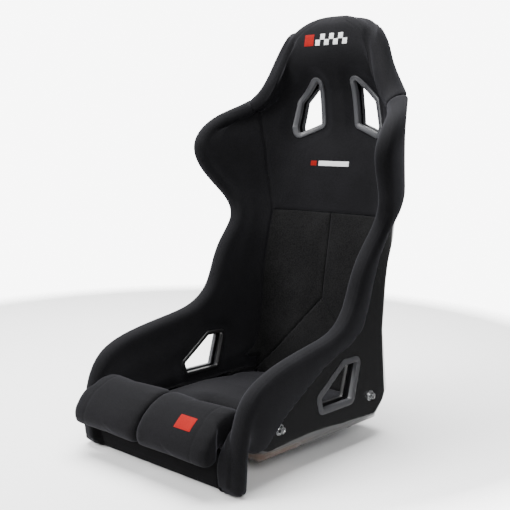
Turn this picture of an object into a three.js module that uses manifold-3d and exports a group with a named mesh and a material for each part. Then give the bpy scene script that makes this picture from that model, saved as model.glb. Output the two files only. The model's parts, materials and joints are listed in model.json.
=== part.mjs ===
// Fixed-back racing seat: a fibreglass bucket shell with sewn foam covers, two lift-off
// cushions, harness slot bezels and the hardware of a four-bolt side mount.
// Units are millimetres, +Z is up and the sitter faces -Y, so +X is the seat's left.
// The origin is on the flat underside of the pan, on the seat's centre plane. Heights in
// this file are taken from the lower edge of the front lip, PAN_Z below that underside.
import * as THREE from 'three';
import { mergeVertices } from 'three/addons/utils/BufferGeometryUtils.js';
import Module from 'manifold-3d';

const wasm = await Module();
wasm.setup();

// ---------------------------------------------------------------- driving dimensions
const SHELL = 4;              // laminate thickness
const GAP = 0.6;              // clearance between the shell and what is glued to it
const PAD = 24;               // foam and cover on the inside walls
const RIM = 18;               // radius of the padded roll round the rim
const LIP_PAD = 6;            // thin cover over the front lip
const BACK_PAD = 10;          // cover wrapped onto the outside of the shell
const SEAM = 0.8;             // half the open width of a seam between covers
const BOLT_SPACING = 290;     // front bolt to rear bolt on each side
const BOLT_FRONT_Y = -204;
const BOLT_Z = 98;
const PAN_Z = 15;             // underside of the pan above the lip's lower edge
const CUSHION_TOP = 93;
const POCKET_X = 178.5;       // half width of the space that the seat cushion fills
const CUSHION_FRONT_Y = -262;
const CUSHION_REAR_Y = 148;
const THIGH_X = 183.5;        // half width of the thigh cushion
const THIGH_BOTTOM = 84;

// The inside surface of the shell is swept through these stations, front lip to head.
// centre y, z | rim x, y, z | flat half width | corner x | floor and wall tension | hem
const STATIONS = [
  [-316, 19, 208, -315, 20, 150, 180, 0.50, 0.50, 0.200],
  [-321, 46, 209, -316, 64, 150, 187, 0.50, 0.50, 0.600],
  [-309, 68, 210, -310, 108, 140, 201, 0.75, 0.60, 0.600],
  [-272, 70, 210, -294, 152, 130, 206, 0.88, 0.70, 0.660],
  [-215, 32, 210, -262, 183, 125, 205, 0.88, 0.75, 0.770],
  [-110, 21, 208, -200, 205, 125, 204, 0.88, 0.78, 0.880],
  [10, 18, 205, -110, 222, 125, 204, 0.88, 0.80, 0.940],
  [122, 19, 202, -30, 242, 125, 204, 0.90, 0.85, 0.950],
  [175, 74, 199, 16, 278, 110, 205, 0.95, 0.87, 0.940],
  [188, 168, 198, 40, 326, 85, 204, 0.90, 0.80, 0.915],
  [205, 308, 199, 69, 384, 65, 200, 0.75, 0.70, 0.885],
  [227, 438, 203, 111, 442, 60, 203, 0.70, 0.65, 0.800],
  [241, 528, 221, 109, 496, 60, 223, 0.65, 0.55, 0.520],
  [253, 603, 246, 65, 556, 60, 231, 0.65, 0.45, 0.520],
  [259, 658, 256, 47, 612, 60, 237, 0.65, 0.42, 0.520],
  [254, 703, 242, 98, 663, 68, 226, 0.65, 0.45, 0.520],
  [248, 748, 192, 167, 705, 70, 188, 0.70, 0.50, 0.520],
  [239, 798, 149, 190, 773, 60, 154, 0.70, 0.50, 0.500],
  [231, 838, 128, 203, 824, 48, 133, 0.70, 0.50, 0.200],
  [225, 864, 103, 210, 859, 34, 102, 0.60, 0.50, 0.000],
  [221, 879, 68, 214, 877, 20, 66, 0.60, 0.50, 0.000],
  [220, 884, 26, 217, 883, 9, 24, 0.60, 0.50, 0.000],
];
const FLAT_V = 0.28;          // share of the width taken by the flat middle
const ROWS = 29;              // rows of the sweep, lip to head
const COLUMNS = [0, 0.28, 0.4, 0.52, 0.64, 0.76, 0.86, 0.94, 1];
const ROLL_STEPS = 4;         // facets round the rim roll

// Slot outlines on the seat's left: shoulder slot as x, z and lap slot as y, z.
const SHOULDER_SLOT = [[57, 753], [57, 664], [106, 645], [108, 658], [96, 704]];
const LAP_SLOT = [[33, 178], [16, 109], [-68, 109], [-76, 131], [-2, 176]];
const CROTCH_SLOT = [[-34, -201], [34, -201], [34, -177], [-34, -177]];
const SLOT_CORNER = 6;
const BEZEL_WALL = 2.5;
const BEZEL_FLANGE = 12;
const BEZEL_THICK = 3;

// Seams of the covers in front view, x and z on the seat's left.
const SIDE_SEAM = [[182, -60], [182, 70], [170, 84], [151, 168], [151, 268], [150, 458],
  [185, 611], [225, 709], [330, 748], [330, 1000]];
const HEAD_SEAM_Z = 458;
const LUMBAR_TOP_Z = 265;

// ---------------------------------------------------------------- materials
const cloth = (color, roughness) => new THREE.MeshStandardMaterial({ color, roughness });
const COVER = cloth(0x2b2b30, 0.95);
const MESH_CLOTH = cloth(0x303035, 0.9);
const FOAM = cloth(0x5b5a52, 1);
const HOOK = cloth(0x111112, 0.9);
const GRP = new THREE.MeshStandardMaterial({ color: 0x0c0c0d, roughness: 0.12 });
const BEZEL_GREY = new THREE.MeshStandardMaterial({ color: 0x87888c, roughness: 0.45 });
const BEZEL_BLACK = new THREE.MeshStandardMaterial({ color: 0x18181a, roughness: 0.5 });
const ZINC = new THREE.MeshStandardMaterial({ color: 0xc9ccd0, roughness: 0.28, metalness: 1 });
const STEEL = new THREE.MeshStandardMaterial({ color: 0x8b8e92, roughness: 0.5, metalness: 1 });

// ---------------------------------------------------------------- the swept surface
// Natural cubic spline through all the columns of a table, one value set per knot.
function naturalSpline(knots, table) {
  const last = knots.length - 1;
  const width = table[0].length;
  const bend = table.map((row) => row.map(() => 0));
  for (let c = 0; c < width; c += 1) {
    const upper = new Array(last + 1).fill(0);
    const right = new Array(last + 1).fill(0);
    for (let i = 1; i < last; i += 1) {
      const before = knots[i] - knots[i - 1];
      const after = knots[i + 1] - knots[i];
      const slope = (table[i + 1][c] - table[i][c]) / after;
      const jump = 6 * (slope - (table[i][c] - table[i - 1][c]) / before);
      const pivot = 2 * (before + after) - before * upper[i - 1];
      upper[i] = after / pivot;
      right[i] = (jump - before * right[i - 1]) / pivot;
    }
    for (let i = last - 1; i > 0; i -= 1) bend[i][c] = right[i] - upper[i] * bend[i + 1][c];
  }
  return (t) => {
    let k = 0;
    while (k < last - 1 && t > knots[k + 1]) k += 1;
    const h = knots[k + 1] - knots[k];
    const a = (knots[k + 1] - t) / h;
    const b = (t - knots[k]) / h;
    const curve = (h * h) / 6;
    return table[k].map((value, c) => a * value + b * table[k + 1][c]
      + ((a ** 3 - a) * bend[k][c] + (b ** 3 - b) * bend[k + 1][c]) * curve);
  };
}

function stationKnots() {
  const knots = [0];
  for (let i = 1; i < STATIONS.length; i += 1) {
    const [p, q] = [STATIONS[i - 1], STATIONS[i]];
    const centre = Math.hypot(q[0] - p[0], q[1] - p[1]);
    const rim = Math.hypot(q[3] - p[3], q[4] - p[4]);
    knots.push(knots[i - 1] + Math.sqrt(centre + rim));
  }
  return knots;
}

const KNOTS = stationKnots();
const TOP_KNOT = KNOTS[KNOTS.length - 1];
const stationAt = naturalSpline(KNOTS, STATIONS);

// Point of the inside surface: u runs lip to head, v runs rim to rim.
function surface(u, v) {
  const [cy, cz, rx, ry, rz, flat, corner, floorPull, wallPull] = stationAt(u * TOP_KNOT);
  const side = Math.abs(v);
  let x = (flat * side) / FLAT_V;
  let rise = 0;
  if (side > FLAT_V) {
    const t = (side - FLAT_V) / (1 - FLAT_V);
    const s = 1 - t;
    const pullX = flat + floorPull * (corner - flat);
    const wallX = rx + wallPull * (corner - rx);
    x = s ** 3 * flat + 3 * s * s * t * pullX + 3 * s * t * t * wallX + t ** 3 * rx;
    rise = 3 * s * t * t * (1 - wallPull) + t ** 3;
  }
  return new THREE.Vector3(Math.sign(v) * x, cy + rise * (ry - cy), cz + rise * (rz - cz));
}

// Unit normal of the inside surface, pointing into the bucket.
function normal(u, v) {
  const step = 1e-3;
  const along = surface(Math.min(u + step, 1), v).sub(surface(Math.max(u - step, 0), v));
  const across = surface(u, Math.min(v + step, 1)).sub(surface(u, Math.max(v - step, -1)));
  return across.cross(along).normalize();
}

const clamp01 = (t) => Math.min(Math.max(t, 0), 1);
const smooth = (from, to, t) => {
  const s = clamp01((t - from) / (to - from));
  return s * s * (3 - 2 * s);
};

// Row places are even along the sweep, with the column places mirrored about the middle.
const rowPlaces = Array.from({ length: ROWS }, (_, i) => i / (ROWS - 1));
const columnPlaces = [...COLUMNS.slice(1).reverse().map((v) => -v), ...COLUMNS];
const grid = rowPlaces.map((u) => columnPlaces.map((v) => ({
  u, v, point: surface(u, v), normal: normal(u, v),
})));

// Thickness of the cover on the inside, thin over the front lip.
function coverThickness(u, v) {
  const edge = Math.min(smooth(0, 0.12, 1 - Math.abs(v)), smooth(0, 0.05, 1 - u));
  const lip = (1 - smooth(0.1, 0.15, u)) * (1 - smooth(0.45, 0.62, Math.abs(v)));
  const wall = RIM + (PAD - RIM) * edge;
  return wall + (LIP_PAD - wall) * lip;
}

// Thickness of the cover on the outside: full beyond the hem, buried in the shell before it.
function backThickness(u, v) {
  const hem = stationAt(u * TOP_KNOT)[9];
  const edge = smooth(0.8, 1, Math.abs(v));
  const full = SHELL + BACK_PAD + (RIM - SHELL - BACK_PAD) * edge;
  return 2 + (full - 2) * smooth(hem - 0.04, hem + 0.04, Math.abs(v));
}

const offsetSheet = (distance) => grid.map((row) => row.map(({ u, v, point, normal: n }) => {
  const reach = typeof distance === 'function' ? distance(u, v) : distance;
  return point.clone().addScaledVector(n, reach);
}));

// Cells of the sheet's boundary in order, once round.
function boundaryCells() {
  const lastRow = ROWS - 1;
  const lastColumn = columnPlaces.length - 1;
  const cells = [];
  for (let i = 0; i < lastRow; i += 1) cells.push([i, lastColumn]);
  for (let j = lastColumn; j > 0; j -= 1) cells.push([lastRow, j]);
  for (let i = lastRow; i > 0; i -= 1) cells.push([i, 0]);
  for (let j = 0; j < lastColumn; j += 1) cells.push([0, j]);
  return cells;
}

const rimCells = boundaryCells();

// Direction in the surface that points off its edge, smoothed round the rim.
function rimDirections() {
  const at = (k) => rimCells[(k + rimCells.length) % rimCells.length];
  const cell = ([i, j]) => grid[i][j];
  let directions = rimCells.map((_, k) => {
    const along = cell(at(k + 1)).point.clone().sub(cell(at(k - 1)).point);
    return cell(at(k)).normal.clone().cross(along).negate().normalize();
  });
  for (let pass = 0; pass < 2; pass += 1) {
    const previous = directions;
    directions = previous.map((d, k) => d.clone().multiplyScalar(2)
      .add(previous[(k + 1) % previous.length])
      .add(previous[(k - 1 + previous.length) % previous.length])
      .projectOnPlane(cell(at(k)).normal).normalize());
  }
  return directions;
}

const rimOut = rimDirections();

// ---------------------------------------------------------------- solids
// Closed mesh from points and triangles, turned so that its faces point out.
function closedGeometry(points, triangles) {
  let volume = 0;
  for (const [a, b, c] of triangles) {
    volume += points[a].dot(points[b].clone().cross(points[c]));
  }
  const index = triangles.flatMap(([a, b, c]) => (volume > 0 ? [a, b, c] : [a, c, b]));
  const geometry = new THREE.BufferGeometry();
  const flat = points.flatMap((p) => [p.x, p.y, p.z]);
  geometry.setAttribute('position', new THREE.Float32BufferAttribute(flat, 3));
  geometry.setIndex(index);
  return geometry;
}

function toSolid(source) {
  const geometry = source.clone();
  geometry.deleteAttribute('normal');
  geometry.deleteAttribute('uv');
  const merged = mergeVertices(geometry, 1e-4);
  return new wasm.Manifold(new wasm.Mesh({
    numProp: 3,
    vertProperties: new Float32Array(merged.attributes.position.array),
    triVerts: new Uint32Array(merged.index.array),
  }));
}

// The largest body of a solid, as a geometry; slivers that a cut leaves are dropped.
function toGeometry(solid) {
  const bodies = solid.decompose().sort((a, b) => b.volume() - a.volume());
  const mesh = bodies[0].getMesh();
  const geometry = new THREE.BufferGeometry();
  geometry.setAttribute('position', new THREE.BufferAttribute(mesh.vertProperties, 3));
  geometry.setIndex(new THREE.BufferAttribute(mesh.triVerts, 1));
  return geometry;
}

// Solid between two sheets of the grid, joined round the rim by any rings in between.
function sheetSolid(front, back, rings = []) {
  const width = columnPlaces.length;
  const points = [...front.flat(), ...back.flat(), ...rings.flat()];
  const triangles = [];
  const quad = (a, b, c, d) => triangles.push([a, b, c], [a, c, d]);
  for (let i = 0; i + 1 < ROWS; i += 1) {
    for (let j = 0; j + 1 < width; j += 1) {
      const corners = [0, 1, width + 1, width].map((step) => i * width + j + step);
      if (2 * j + 1 < width) corners.push(corners.shift());
      quad(...corners);
      const [a, b, c, d] = corners.map((corner) => corner + ROWS * width);
      quad(a, d, c, b);
    }
  }
  const cellIndex = rimCells.map(([i, j]) => i * width + j);
  const loops = [cellIndex];
  rings.forEach((ring, r) => {
    const start = 2 * ROWS * width + r * ring.length;
    loops.push(ring.map((_, k) => start + k));
  });
  loops.push(cellIndex.map((a) => ROWS * width + a));
  for (let r = 0; r + 1 < loops.length; r += 1) {
    for (let k = 0; k < cellIndex.length; k += 1) {
      const next = (k + 1) % cellIndex.length;
      quad(loops[r][k], loops[r + 1][k], loops[r + 1][next], loops[r][next]);
    }
  }
  return toSolid(closedGeometry(points, triangles));
}

// Layer of the sweep between two offsets, its edge let out past the rim.
function layer(inner, outer, reach = 0) {
  const sheets = [offsetSheet(outer), offsetSheet(inner)];
  for (const sheet of sheets) {
    rimCells.forEach(([i, j], k) => sheet[i][j].addScaledVector(rimOut[k], reach));
  }
  return sheetSolid(sheets[0], sheets[1]);
}

// Everything that is padded, with the roll round the rim.
function paddedVolume() {
  const rings = [];
  for (let step = 1; step < ROLL_STEPS; step += 1) {
    const angle = (Math.PI * step) / ROLL_STEPS;
    rings.push(rimCells.map(([i, j], k) => grid[i][j].point.clone()
      .addScaledVector(rimOut[k], RIM * Math.sin(angle))
      .addScaledVector(grid[i][j].normal, RIM * Math.cos(angle))));
  }
  const inside = offsetSheet((u, v) => coverThickness(u, v));
  const outside = offsetSheet((u, v) => -backThickness(u, v));
  rimCells.forEach(([i, j]) => {
    const { point, normal: n } = grid[i][j];
    inside[i][j].copy(point).addScaledVector(n, RIM);
    outside[i][j].copy(point).addScaledVector(n, -RIM);
  });
  return sheetSolid(inside, outside, rings);
}

// Outline from corner points with round corners, let out by grow.
function outline(corners, grow = 0, radius = 0) {
  const points = corners.map(([x, y]) => new THREE.Vector2(x, y));
  if (THREE.ShapeUtils.isClockWise(points)) points.reverse();
  const count = points.length;
  const edges = points.map((p, k) => {
    const along = points[(k + 1) % count].clone().sub(p).normalize();
    const aside = new THREE.Vector2(along.y, -along.x);
    return { start: p.clone().addScaledVector(aside, grow), along };
  });
  const grown = edges.map((edge, k) => {
    const previous = edges[(k - 1 + count) % count];
    const gap = edge.start.clone().sub(previous.start);
    const reach = gap.cross(edge.along) / previous.along.cross(edge.along);
    return previous.start.clone().addScaledVector(previous.along, reach);
  });
  if (radius <= 0) return new THREE.Shape(grown);
  const shape = new THREE.Shape();
  grown.forEach((p, k) => {
    const back = grown[(k - 1 + count) % count].clone().sub(p);
    const ahead = grown[(k + 1) % count].clone().sub(p);
    const reach = Math.min(radius, back.length() / 2, ahead.length() / 2);
    const from = p.clone().addScaledVector(back.normalize(), reach);
    const to = p.clone().addScaledVector(ahead.normalize(), reach);
    if (k === 0) shape.moveTo(from.x, from.y);
    else shape.lineTo(from.x, from.y);
    shape.quadraticCurveTo(p.x, p.y, to.x, to.y);
  });
  return shape;
}

// Straight prism of a shape drawn in a named plane, between two places on the third axis.
const PLANES = {
  xy: new THREE.Matrix4(),
  xz: new THREE.Matrix4().set(1, 0, 0, 0, 0, 0, -1, 0, 0, 1, 0, 0, 0, 0, 0, 1),
  yz: new THREE.Matrix4().set(0, 0, 1, 0, 1, 0, 0, 0, 0, 1, 0, 0, 0, 0, 0, 1),
};
function prismGeometry(shape, plane, from, to, curveSegments = 2) {
  const start = plane === 'xz' ? -to : from;
  const depth = to - from;
  const geometry = new THREE.ExtrudeGeometry(shape, { depth, bevelEnabled: false, curveSegments });
  return geometry.translate(0, 0, start).applyMatrix4(PLANES[plane]);
}
const prism = (...given) => toSolid(prismGeometry(...given));
const block = (x0, x1, y0, y1, z0, z1) => toSolid(new THREE.BoxGeometry(x1 - x0, y1 - y0, z1 - z0)
  .translate((x0 + x1) / 2, (y0 + y1) / 2, (z0 + z1) / 2));

const FAR = 500;
const mirrorX = (corners) => corners.map(([x, z]) => [-x, z]);
const shoulderPrism = (side, grow) => prism(
  outline(side > 0 ? SHOULDER_SLOT : mirrorX(SHOULDER_SLOT), grow, SLOT_CORNER + grow),
  'xz', 100, 320,
);
const lapPrism = (side, grow) => prism(
  outline(LAP_SLOT, grow, SLOT_CORNER + grow), 'yz', side > 0 ? 120 : -300, side > 0 ? 300 : -120,
);
const crotchPrism = (grow) => prism(
  outline(CROTCH_SLOT, grow, SLOT_CORNER + grow), 'xy', -30, 60,
);

// Cylinder along X between two places.
function rod(radius, from, to, y, z, sides = 12) {
  return toSolid(new THREE.CylinderGeometry(radius, radius, Math.abs(to - from), sides)
    .rotateZ(Math.PI / 2).translate((from + to) / 2, y, z));
}

// Outside x of the bare shell wall where a line along X meets it.
function wallX(y, z) {
  let best = { miss: Infinity, x: 0 };
  for (let u = 0; u <= 1; u += 0.002) {
    for (let v = 0.5; v <= 1; v += 0.01) {
      const p = surface(u, v).addScaledVector(normal(u, v), -SHELL);
      const miss = Math.hypot(p.y - y, p.z - z);
      if (miss < best.miss) best = { miss, x: p.x };
    }
  }
  return best.x;
}

const BOLT_Y = [BOLT_FRONT_Y, BOLT_FRONT_Y + BOLT_SPACING];
const BOLT_NAMES = ['front', 'rear'];
const BOSS_RISE = 1.8;
const BOLT_FACE = BOLT_Y.map((y) => wallX(y, BOLT_Z) + BOSS_RISE);
const SIDES = [['left', 1], ['right', -1]];

const parts = new THREE.Group();
function addPart(name, geometry, material) {
  const mesh = new THREE.Mesh(geometry, material);
  mesh.name = name;
  parts.add(mesh);
}
const addSolid = (name, solid, material) => addPart(name, toGeometry(solid), material);
const joinAll = (solids) => solids.reduce((all, next) => all.add(next));

// ---------------------------------------------------------------- shell
// A raised land with a flat face for a side bracket lies between the two bolts.
const LAND = { y0: -182, y1: -112, z0: 68, z1: 94, x: 207.5 };
const BOSS_RADIUS = 15;
const BOLT_HOLE = 4.5;
const SLOT_PLAY = 0.6;

function buildShell() {
  const inside = layer(0, PAD);
  let shell = layer(-SHELL, 0);
  for (const [, side] of SIDES) {
    const land = [side * 190, side * LAND.x].sort((a, b) => a - b);
    const raised = BOLT_Y.map((y, k) => rod(BOSS_RADIUS, side * 200, side * BOLT_FACE[k], y, BOLT_Z));
    raised.push(block(land[0], land[1], LAND.y0, LAND.y1, LAND.z0, LAND.z1));
    shell = shell.add(joinAll(raised).subtract(inside));
    shell = shell.subtract(joinAll([
      ...BOLT_Y.map((y) => rod(BOLT_HOLE, side * 150, side * 260, y, BOLT_Z)),
      shoulderPrism(side, BEZEL_WALL + SLOT_PLAY),
      lapPrism(side, BEZEL_WALL + SLOT_PLAY),
    ]));
  }
  shell = shell.subtract(crotchPrism(BEZEL_WALL + SLOT_PLAY));
  return shell.subtract(block(-FAR, FAR, -280, FAR, -50, PAN_Z));
}

// ---------------------------------------------------------------- sewn covers
const PLATE_SIZE = 44;
const PLATE_THICK = 3;
const PLATE_CORNER = 5;
const NUT_RADIUS = 8;
const NUT_REACH = 8;
const boltSquare = (y, grow) => {
  const half = PLATE_SIZE / 2 + grow;
  return outline([[y - half, BOLT_Z - half], [y + half, BOLT_Z - half],
    [y + half, BOLT_Z + half], [y - half, BOLT_Z + half]], 0, PLATE_CORNER);
};
const sidePrism = (shape, side) => prism(
  shape, 'yz', side > 0 ? 150 : -260, side > 0 ? 260 : -150,
);

// Regions of the covers in front view, each shrunk to leave the seams open.
const centreOutline = (grow) => {
  const left = SIDE_SEAM.map(([x, z]) => [x + grow, z]);
  return new THREE.Shape([...left, ...mirrorX(left).reverse()]
    .map(([x, z]) => new THREE.Vector2(x, z)));
};

function coverPieces() {
  const inflated = layer(-SHELL - 2 * GAP, 2 * GAP, 3 * GAP);
  let pad = paddedVolume().subtract(inflated);
  pad = pad.subtract(block(-POCKET_X, POCKET_X, -FAR, CUSHION_REAR_Y + 1, 76, CUSHION_TOP + 2));
  pad = pad.subtract(block(-POCKET_X, POCKET_X, -266, CUSHION_REAR_Y + 1, -60, 90));
  pad = pad.subtract(block(-THIGH_X - 1, THIGH_X + 1, -FAR, -264, 77, 220));
  for (const [, side] of SIDES) {
    pad = pad.subtract(shoulderPrism(side, BEZEL_WALL + SLOT_PLAY));
    pad = pad.subtract(lapPrism(side, BEZEL_WALL + SLOT_PLAY));
    const flange = layer(-SHELL - BACK_PAD - 10, -1);
    for (const make of [lapPrism, shoulderPrism]) {
      pad = pad.subtract(flange.intersect(make(side, BEZEL_FLANGE + SLOT_PLAY)));
    }
    BOLT_Y.forEach((y) => {
      const recess = layer(-1, PLATE_THICK + 2 * GAP).intersect(sidePrism(boltSquare(y, 0.6), side));
      pad = pad.subtract(recess);
      pad = pad.subtract(rod(NUT_RADIUS + 1, side * 150, side * 200, y, BOLT_Z));
      pad = pad.subtract(flange.intersect(rod(BOSS_RADIUS + 2, side * 150, side * 260, y, BOLT_Z)));
    });
  }
  pad = pad.subtract(block(-FAR, FAR, -270, FAR, -50, PAN_Z + 1));

  const centre = prism(centreOutline(-SEAM), 'xz', -FAR, FAR);
  const sides = prism(centreOutline(SEAM), 'xz', -FAR, FAR);
  const sidePads = pad.subtract(sides);
  const middle = pad.intersect(centre);
  const upper = block(-FAR, FAR, 60, FAR, HEAD_SEAM_Z + SEAM, 1000);
  const lower = block(-FAR, FAR, 60, FAR, -60, HEAD_SEAM_Z - SEAM);
  const wedge = (grow) => prism(new THREE.Shape([[-200, 50], [200, 50], [0, LUMBAR_TOP_Z]]
    .map(([x, z]) => new THREE.Vector2(x, z + grow))), 'xz', 60, FAR);
  return {
    head: middle.intersect(upper),
    backLeft: middle.intersect(lower).subtract(wedge(2 * SEAM)).intersect(block(SEAM, FAR, 60, FAR, 0, FAR)),
    backRight: middle.intersect(lower).subtract(wedge(2 * SEAM))
      .intersect(block(-FAR, -SEAM, 60, FAR, 0, FAR)),
    lumbar: middle.intersect(lower).intersect(wedge(0)),
    lip: middle.intersect(block(-FAR, FAR, -FAR, -240, -60, 110)),
    sideLeft: sidePads.intersect(block(0, FAR, -FAR, FAR, -60, 1000)),
    sideRight: sidePads.intersect(block(-FAR, 0, -FAR, FAR, -60, 1000)),
  };
}

// ---------------------------------------------------------------- bezels
function buildBezels() {
  const cover = (u, v) => coverThickness(u, v);
  const frontFlange = layer((u, v) => cover(u, v) + 0.4, (u, v) => cover(u, v) + 0.4 + BEZEL_THICK);
  const frontTube = layer(-1.5, (u, v) => cover(u, v) + 1);
  const rearFlange = layer(-SHELL - GAP - BEZEL_THICK, -SHELL - GAP);
  const rearTube = layer(-SHELL - 1, -2.2);
  const ring = (make, side, grow) => make(side, grow).subtract(make(side, 0));
  for (const [word, side] of SIDES) {
    for (const [place, make, frontColour] of [
      ['shoulder', shoulderPrism, BEZEL_GREY],
      ['lap', lapPrism, BEZEL_BLACK],
    ]) {
      const wall = ring(make, side, BEZEL_WALL);
      const rim = ring(make, side, BEZEL_FLANGE);
      addSolid(`${place}_bezel_inner_${word}`, frontFlange.intersect(rim).add(frontTube.intersect(wall)),
        frontColour);
      addSolid(`${place}_bezel_outer_${word}`, rearFlange.intersect(rim).add(rearTube.intersect(wall)),
        BEZEL_GREY);
    }
  }
  const crotchFlange = layer(GAP, GAP + 2.5);
  const crotchTube = layer(-SHELL + 1, GAP + 1);
  addSolid('crotch_strap_bezel',
    crotchFlange.intersect(crotchPrism(10).subtract(crotchPrism(0)))
      .add(crotchTube.intersect(crotchPrism(BEZEL_WALL).subtract(crotchPrism(0)))), BEZEL_BLACK);
}

// ---------------------------------------------------------------- side mount hardware
const HEAD_FLATS = 13;
const HEAD_THICK = 5.3;
const SHANK = 4;
const FLAT_WASHER = { radius: 11, thick: 1.8 };
const SPRING_WASHER = { radius: 7, thick: 2.2 };
const TOUCH = 0.3;

// Ring or split ring round the X axis, starting at x and going outward.
function washerGeometry(radius, thick, split, x, side, y) {
  const shape = new THREE.Shape();
  if (split) {
    shape.absarc(0, 0, radius, 0.12, 2 * Math.PI - 0.12, false);
    shape.absarc(0, 0, BOLT_HOLE, 2 * Math.PI - 0.15, 0.15, true);
  } else {
    shape.absarc(0, 0, radius, 0, 2 * Math.PI, false);
    const hole = new THREE.Path();
    hole.absarc(0, 0, BOLT_HOLE, 0, 2 * Math.PI, true);
    shape.holes.push(hole);
  }
  const geometry = prismGeometry(shape, 'yz', Math.min(x, x + side * thick),
    Math.max(x, x + side * thick), 6);
  return geometry.translate(0, y, BOLT_Z);
}

function buildHardware() {
  for (const [word, side] of SIDES) {
    BOLT_Y.forEach((y, k) => {
      const place = `${BOLT_NAMES[k]}_${word}`;
      const flatAt = side * (BOLT_FACE[k] + TOUCH);
      const springAt = flatAt + side * (FLAT_WASHER.thick + TOUCH);
      const headAt = springAt + side * (SPRING_WASHER.thick + TOUCH);
      addPart(`flat_washer_${place}`,
        washerGeometry(FLAT_WASHER.radius, FLAT_WASHER.thick, false, flatAt, side, y), ZINC);
      addPart(`spring_washer_${place}`,
        washerGeometry(SPRING_WASHER.radius, SPRING_WASHER.thick, true, springAt, side, y), ZINC);
      const shankEnd = headAt - side * 22;
      const head = rod(HEAD_FLATS / Math.sqrt(3), headAt, headAt + side * HEAD_THICK, y, BOLT_Z, 6);
      addSolid(`mount_bolt_${place}`, head.add(rod(SHANK, shankEnd, headAt + side, y, BOLT_Z)), ZINC);
      const plate = layer(GAP, GAP + PLATE_THICK).intersect(sidePrism(boltSquare(y, 0), side));
      addSolid(`backing_plate_${place}`, plate.subtract(rod(BOLT_HOLE, side * 150, side * 260, y, BOLT_Z)),
        STEEL);
      const nutAt = side * (BOLT_FACE[k] - BOSS_RISE - SHELL - PLATE_THICK - 4.6);
      const nut = rod(NUT_RADIUS, nutAt - side * NUT_REACH, nutAt, y, BOLT_Z, 6);
      addSolid(`weld_nut_${place}`, nut.subtract(rod(SHANK + TOUCH, side * 150, side * 260, y, BOLT_Z)),
        STEEL);
    });
  }
}

// ---------------------------------------------------------------- cushions
const COVER_CLOTH = 3;
const NOTCH_X = 47;
const NOTCH_Y = -152;
const CUSHION_X = 169;          // half width, clear of the walls all the way up
const CUSHION_CORNER = 64;

// Plan of the seat cushion with the strap notch in its front edge, let in by inset.
function cushionPlan(inset) {
  const x = CUSHION_X - inset;
  const front = CUSHION_FRONT_Y + inset;
  const rear = CUSHION_REAR_Y - inset;
  const r = CUSHION_CORNER - inset;
  const notchX = NOTCH_X + inset;
  const notchY = NOTCH_Y + inset;
  const nr = 12;
  const shape = new THREE.Shape();
  shape.moveTo(notchX, front);
  shape.lineTo(x - nr, front);
  shape.quadraticCurveTo(x, front, x, front + nr);
  shape.lineTo(x, rear - r);
  shape.quadraticCurveTo(x, rear, x - r, rear);
  shape.lineTo(-x + r, rear);
  shape.quadraticCurveTo(-x, rear, -x, rear - r);
  shape.lineTo(-x, front + nr);
  shape.quadraticCurveTo(-x, front, -x + nr, front);
  shape.lineTo(-notchX, front);
  shape.lineTo(-notchX, notchY - nr);
  shape.quadraticCurveTo(-notchX, notchY, -notchX + nr, notchY);
  shape.lineTo(notchX - nr, notchY);
  shape.quadraticCurveTo(notchX, notchY, notchX, notchY - nr);
  return shape;
}

// Side view of the seat cushion's top, crowned a little and falling to the rear.
function cushionProfile(inset) {
  const shape = new THREE.Shape();
  shape.moveTo(-300, -20);
  shape.lineTo(200, -20);
  shape.lineTo(200, CUSHION_TOP - 22 - inset);
  shape.quadraticCurveTo(60, CUSHION_TOP - 2 - inset, -60, CUSHION_TOP - inset);
  shape.quadraticCurveTo(-200, CUSHION_TOP - inset, -300, CUSHION_TOP - 8 - inset);
  return shape;
}

function buildSeatCushion() {
  const form = (inset, bottom) => prism(cushionPlan(inset), 'xy', -20, 150)
    .intersect(prism(cushionProfile(inset), 'yz', -FAR, FAR, 6))
    .subtract(layer(-14, bottom));
  const bodyOf = (solid) => solid.decompose().sort((a, b) => b.volume() - a.volume())[0];
  const outer = bodyOf(form(0, GAP + 4.2));
  const base = bodyOf(form(COVER_CLOTH + TOUCH, GAP + 1.4));
  const foam = bodyOf(form(COVER_CLOTH + TOUCH, GAP + 4.2));
  const lift = layer(-14, GAP + 3.8);
  addSolid('seat_cushion_cover', outer.subtract(bodyOf(form(COVER_CLOTH, -5))), COVER);
  addSolid('seat_cushion_foam', foam, FOAM);
  addSolid('seat_cushion_base', base.intersect(lift), HOOK);
}

// Side view of the thigh cushion, which rests on the front lip and hangs over it.
function thighProfile(inset) {
  const i = inset;
  const shape = new THREE.Shape();
  shape.moveTo(-266 - i, THIGH_BOTTOM + i);
  shape.lineTo(-266 - i, 130 - i);
  shape.quadraticCurveTo(-268 - i, 150 - i, -292, 153 - i);
  shape.quadraticCurveTo(-320, 156 - i, -350, 132 - i);
  shape.quadraticCurveTo(-386 + i, 104, -386 + i, 80);
  shape.quadraticCurveTo(-386 + i, 58 + i, -366, 57 + i);
  shape.quadraticCurveTo(-346 - i, 57 + i, -338 - i, 72 + i);
  shape.quadraticCurveTo(-334 - i, THIGH_BOTTOM + i, -324, THIGH_BOTTOM + i);
  return shape;
}

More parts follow.
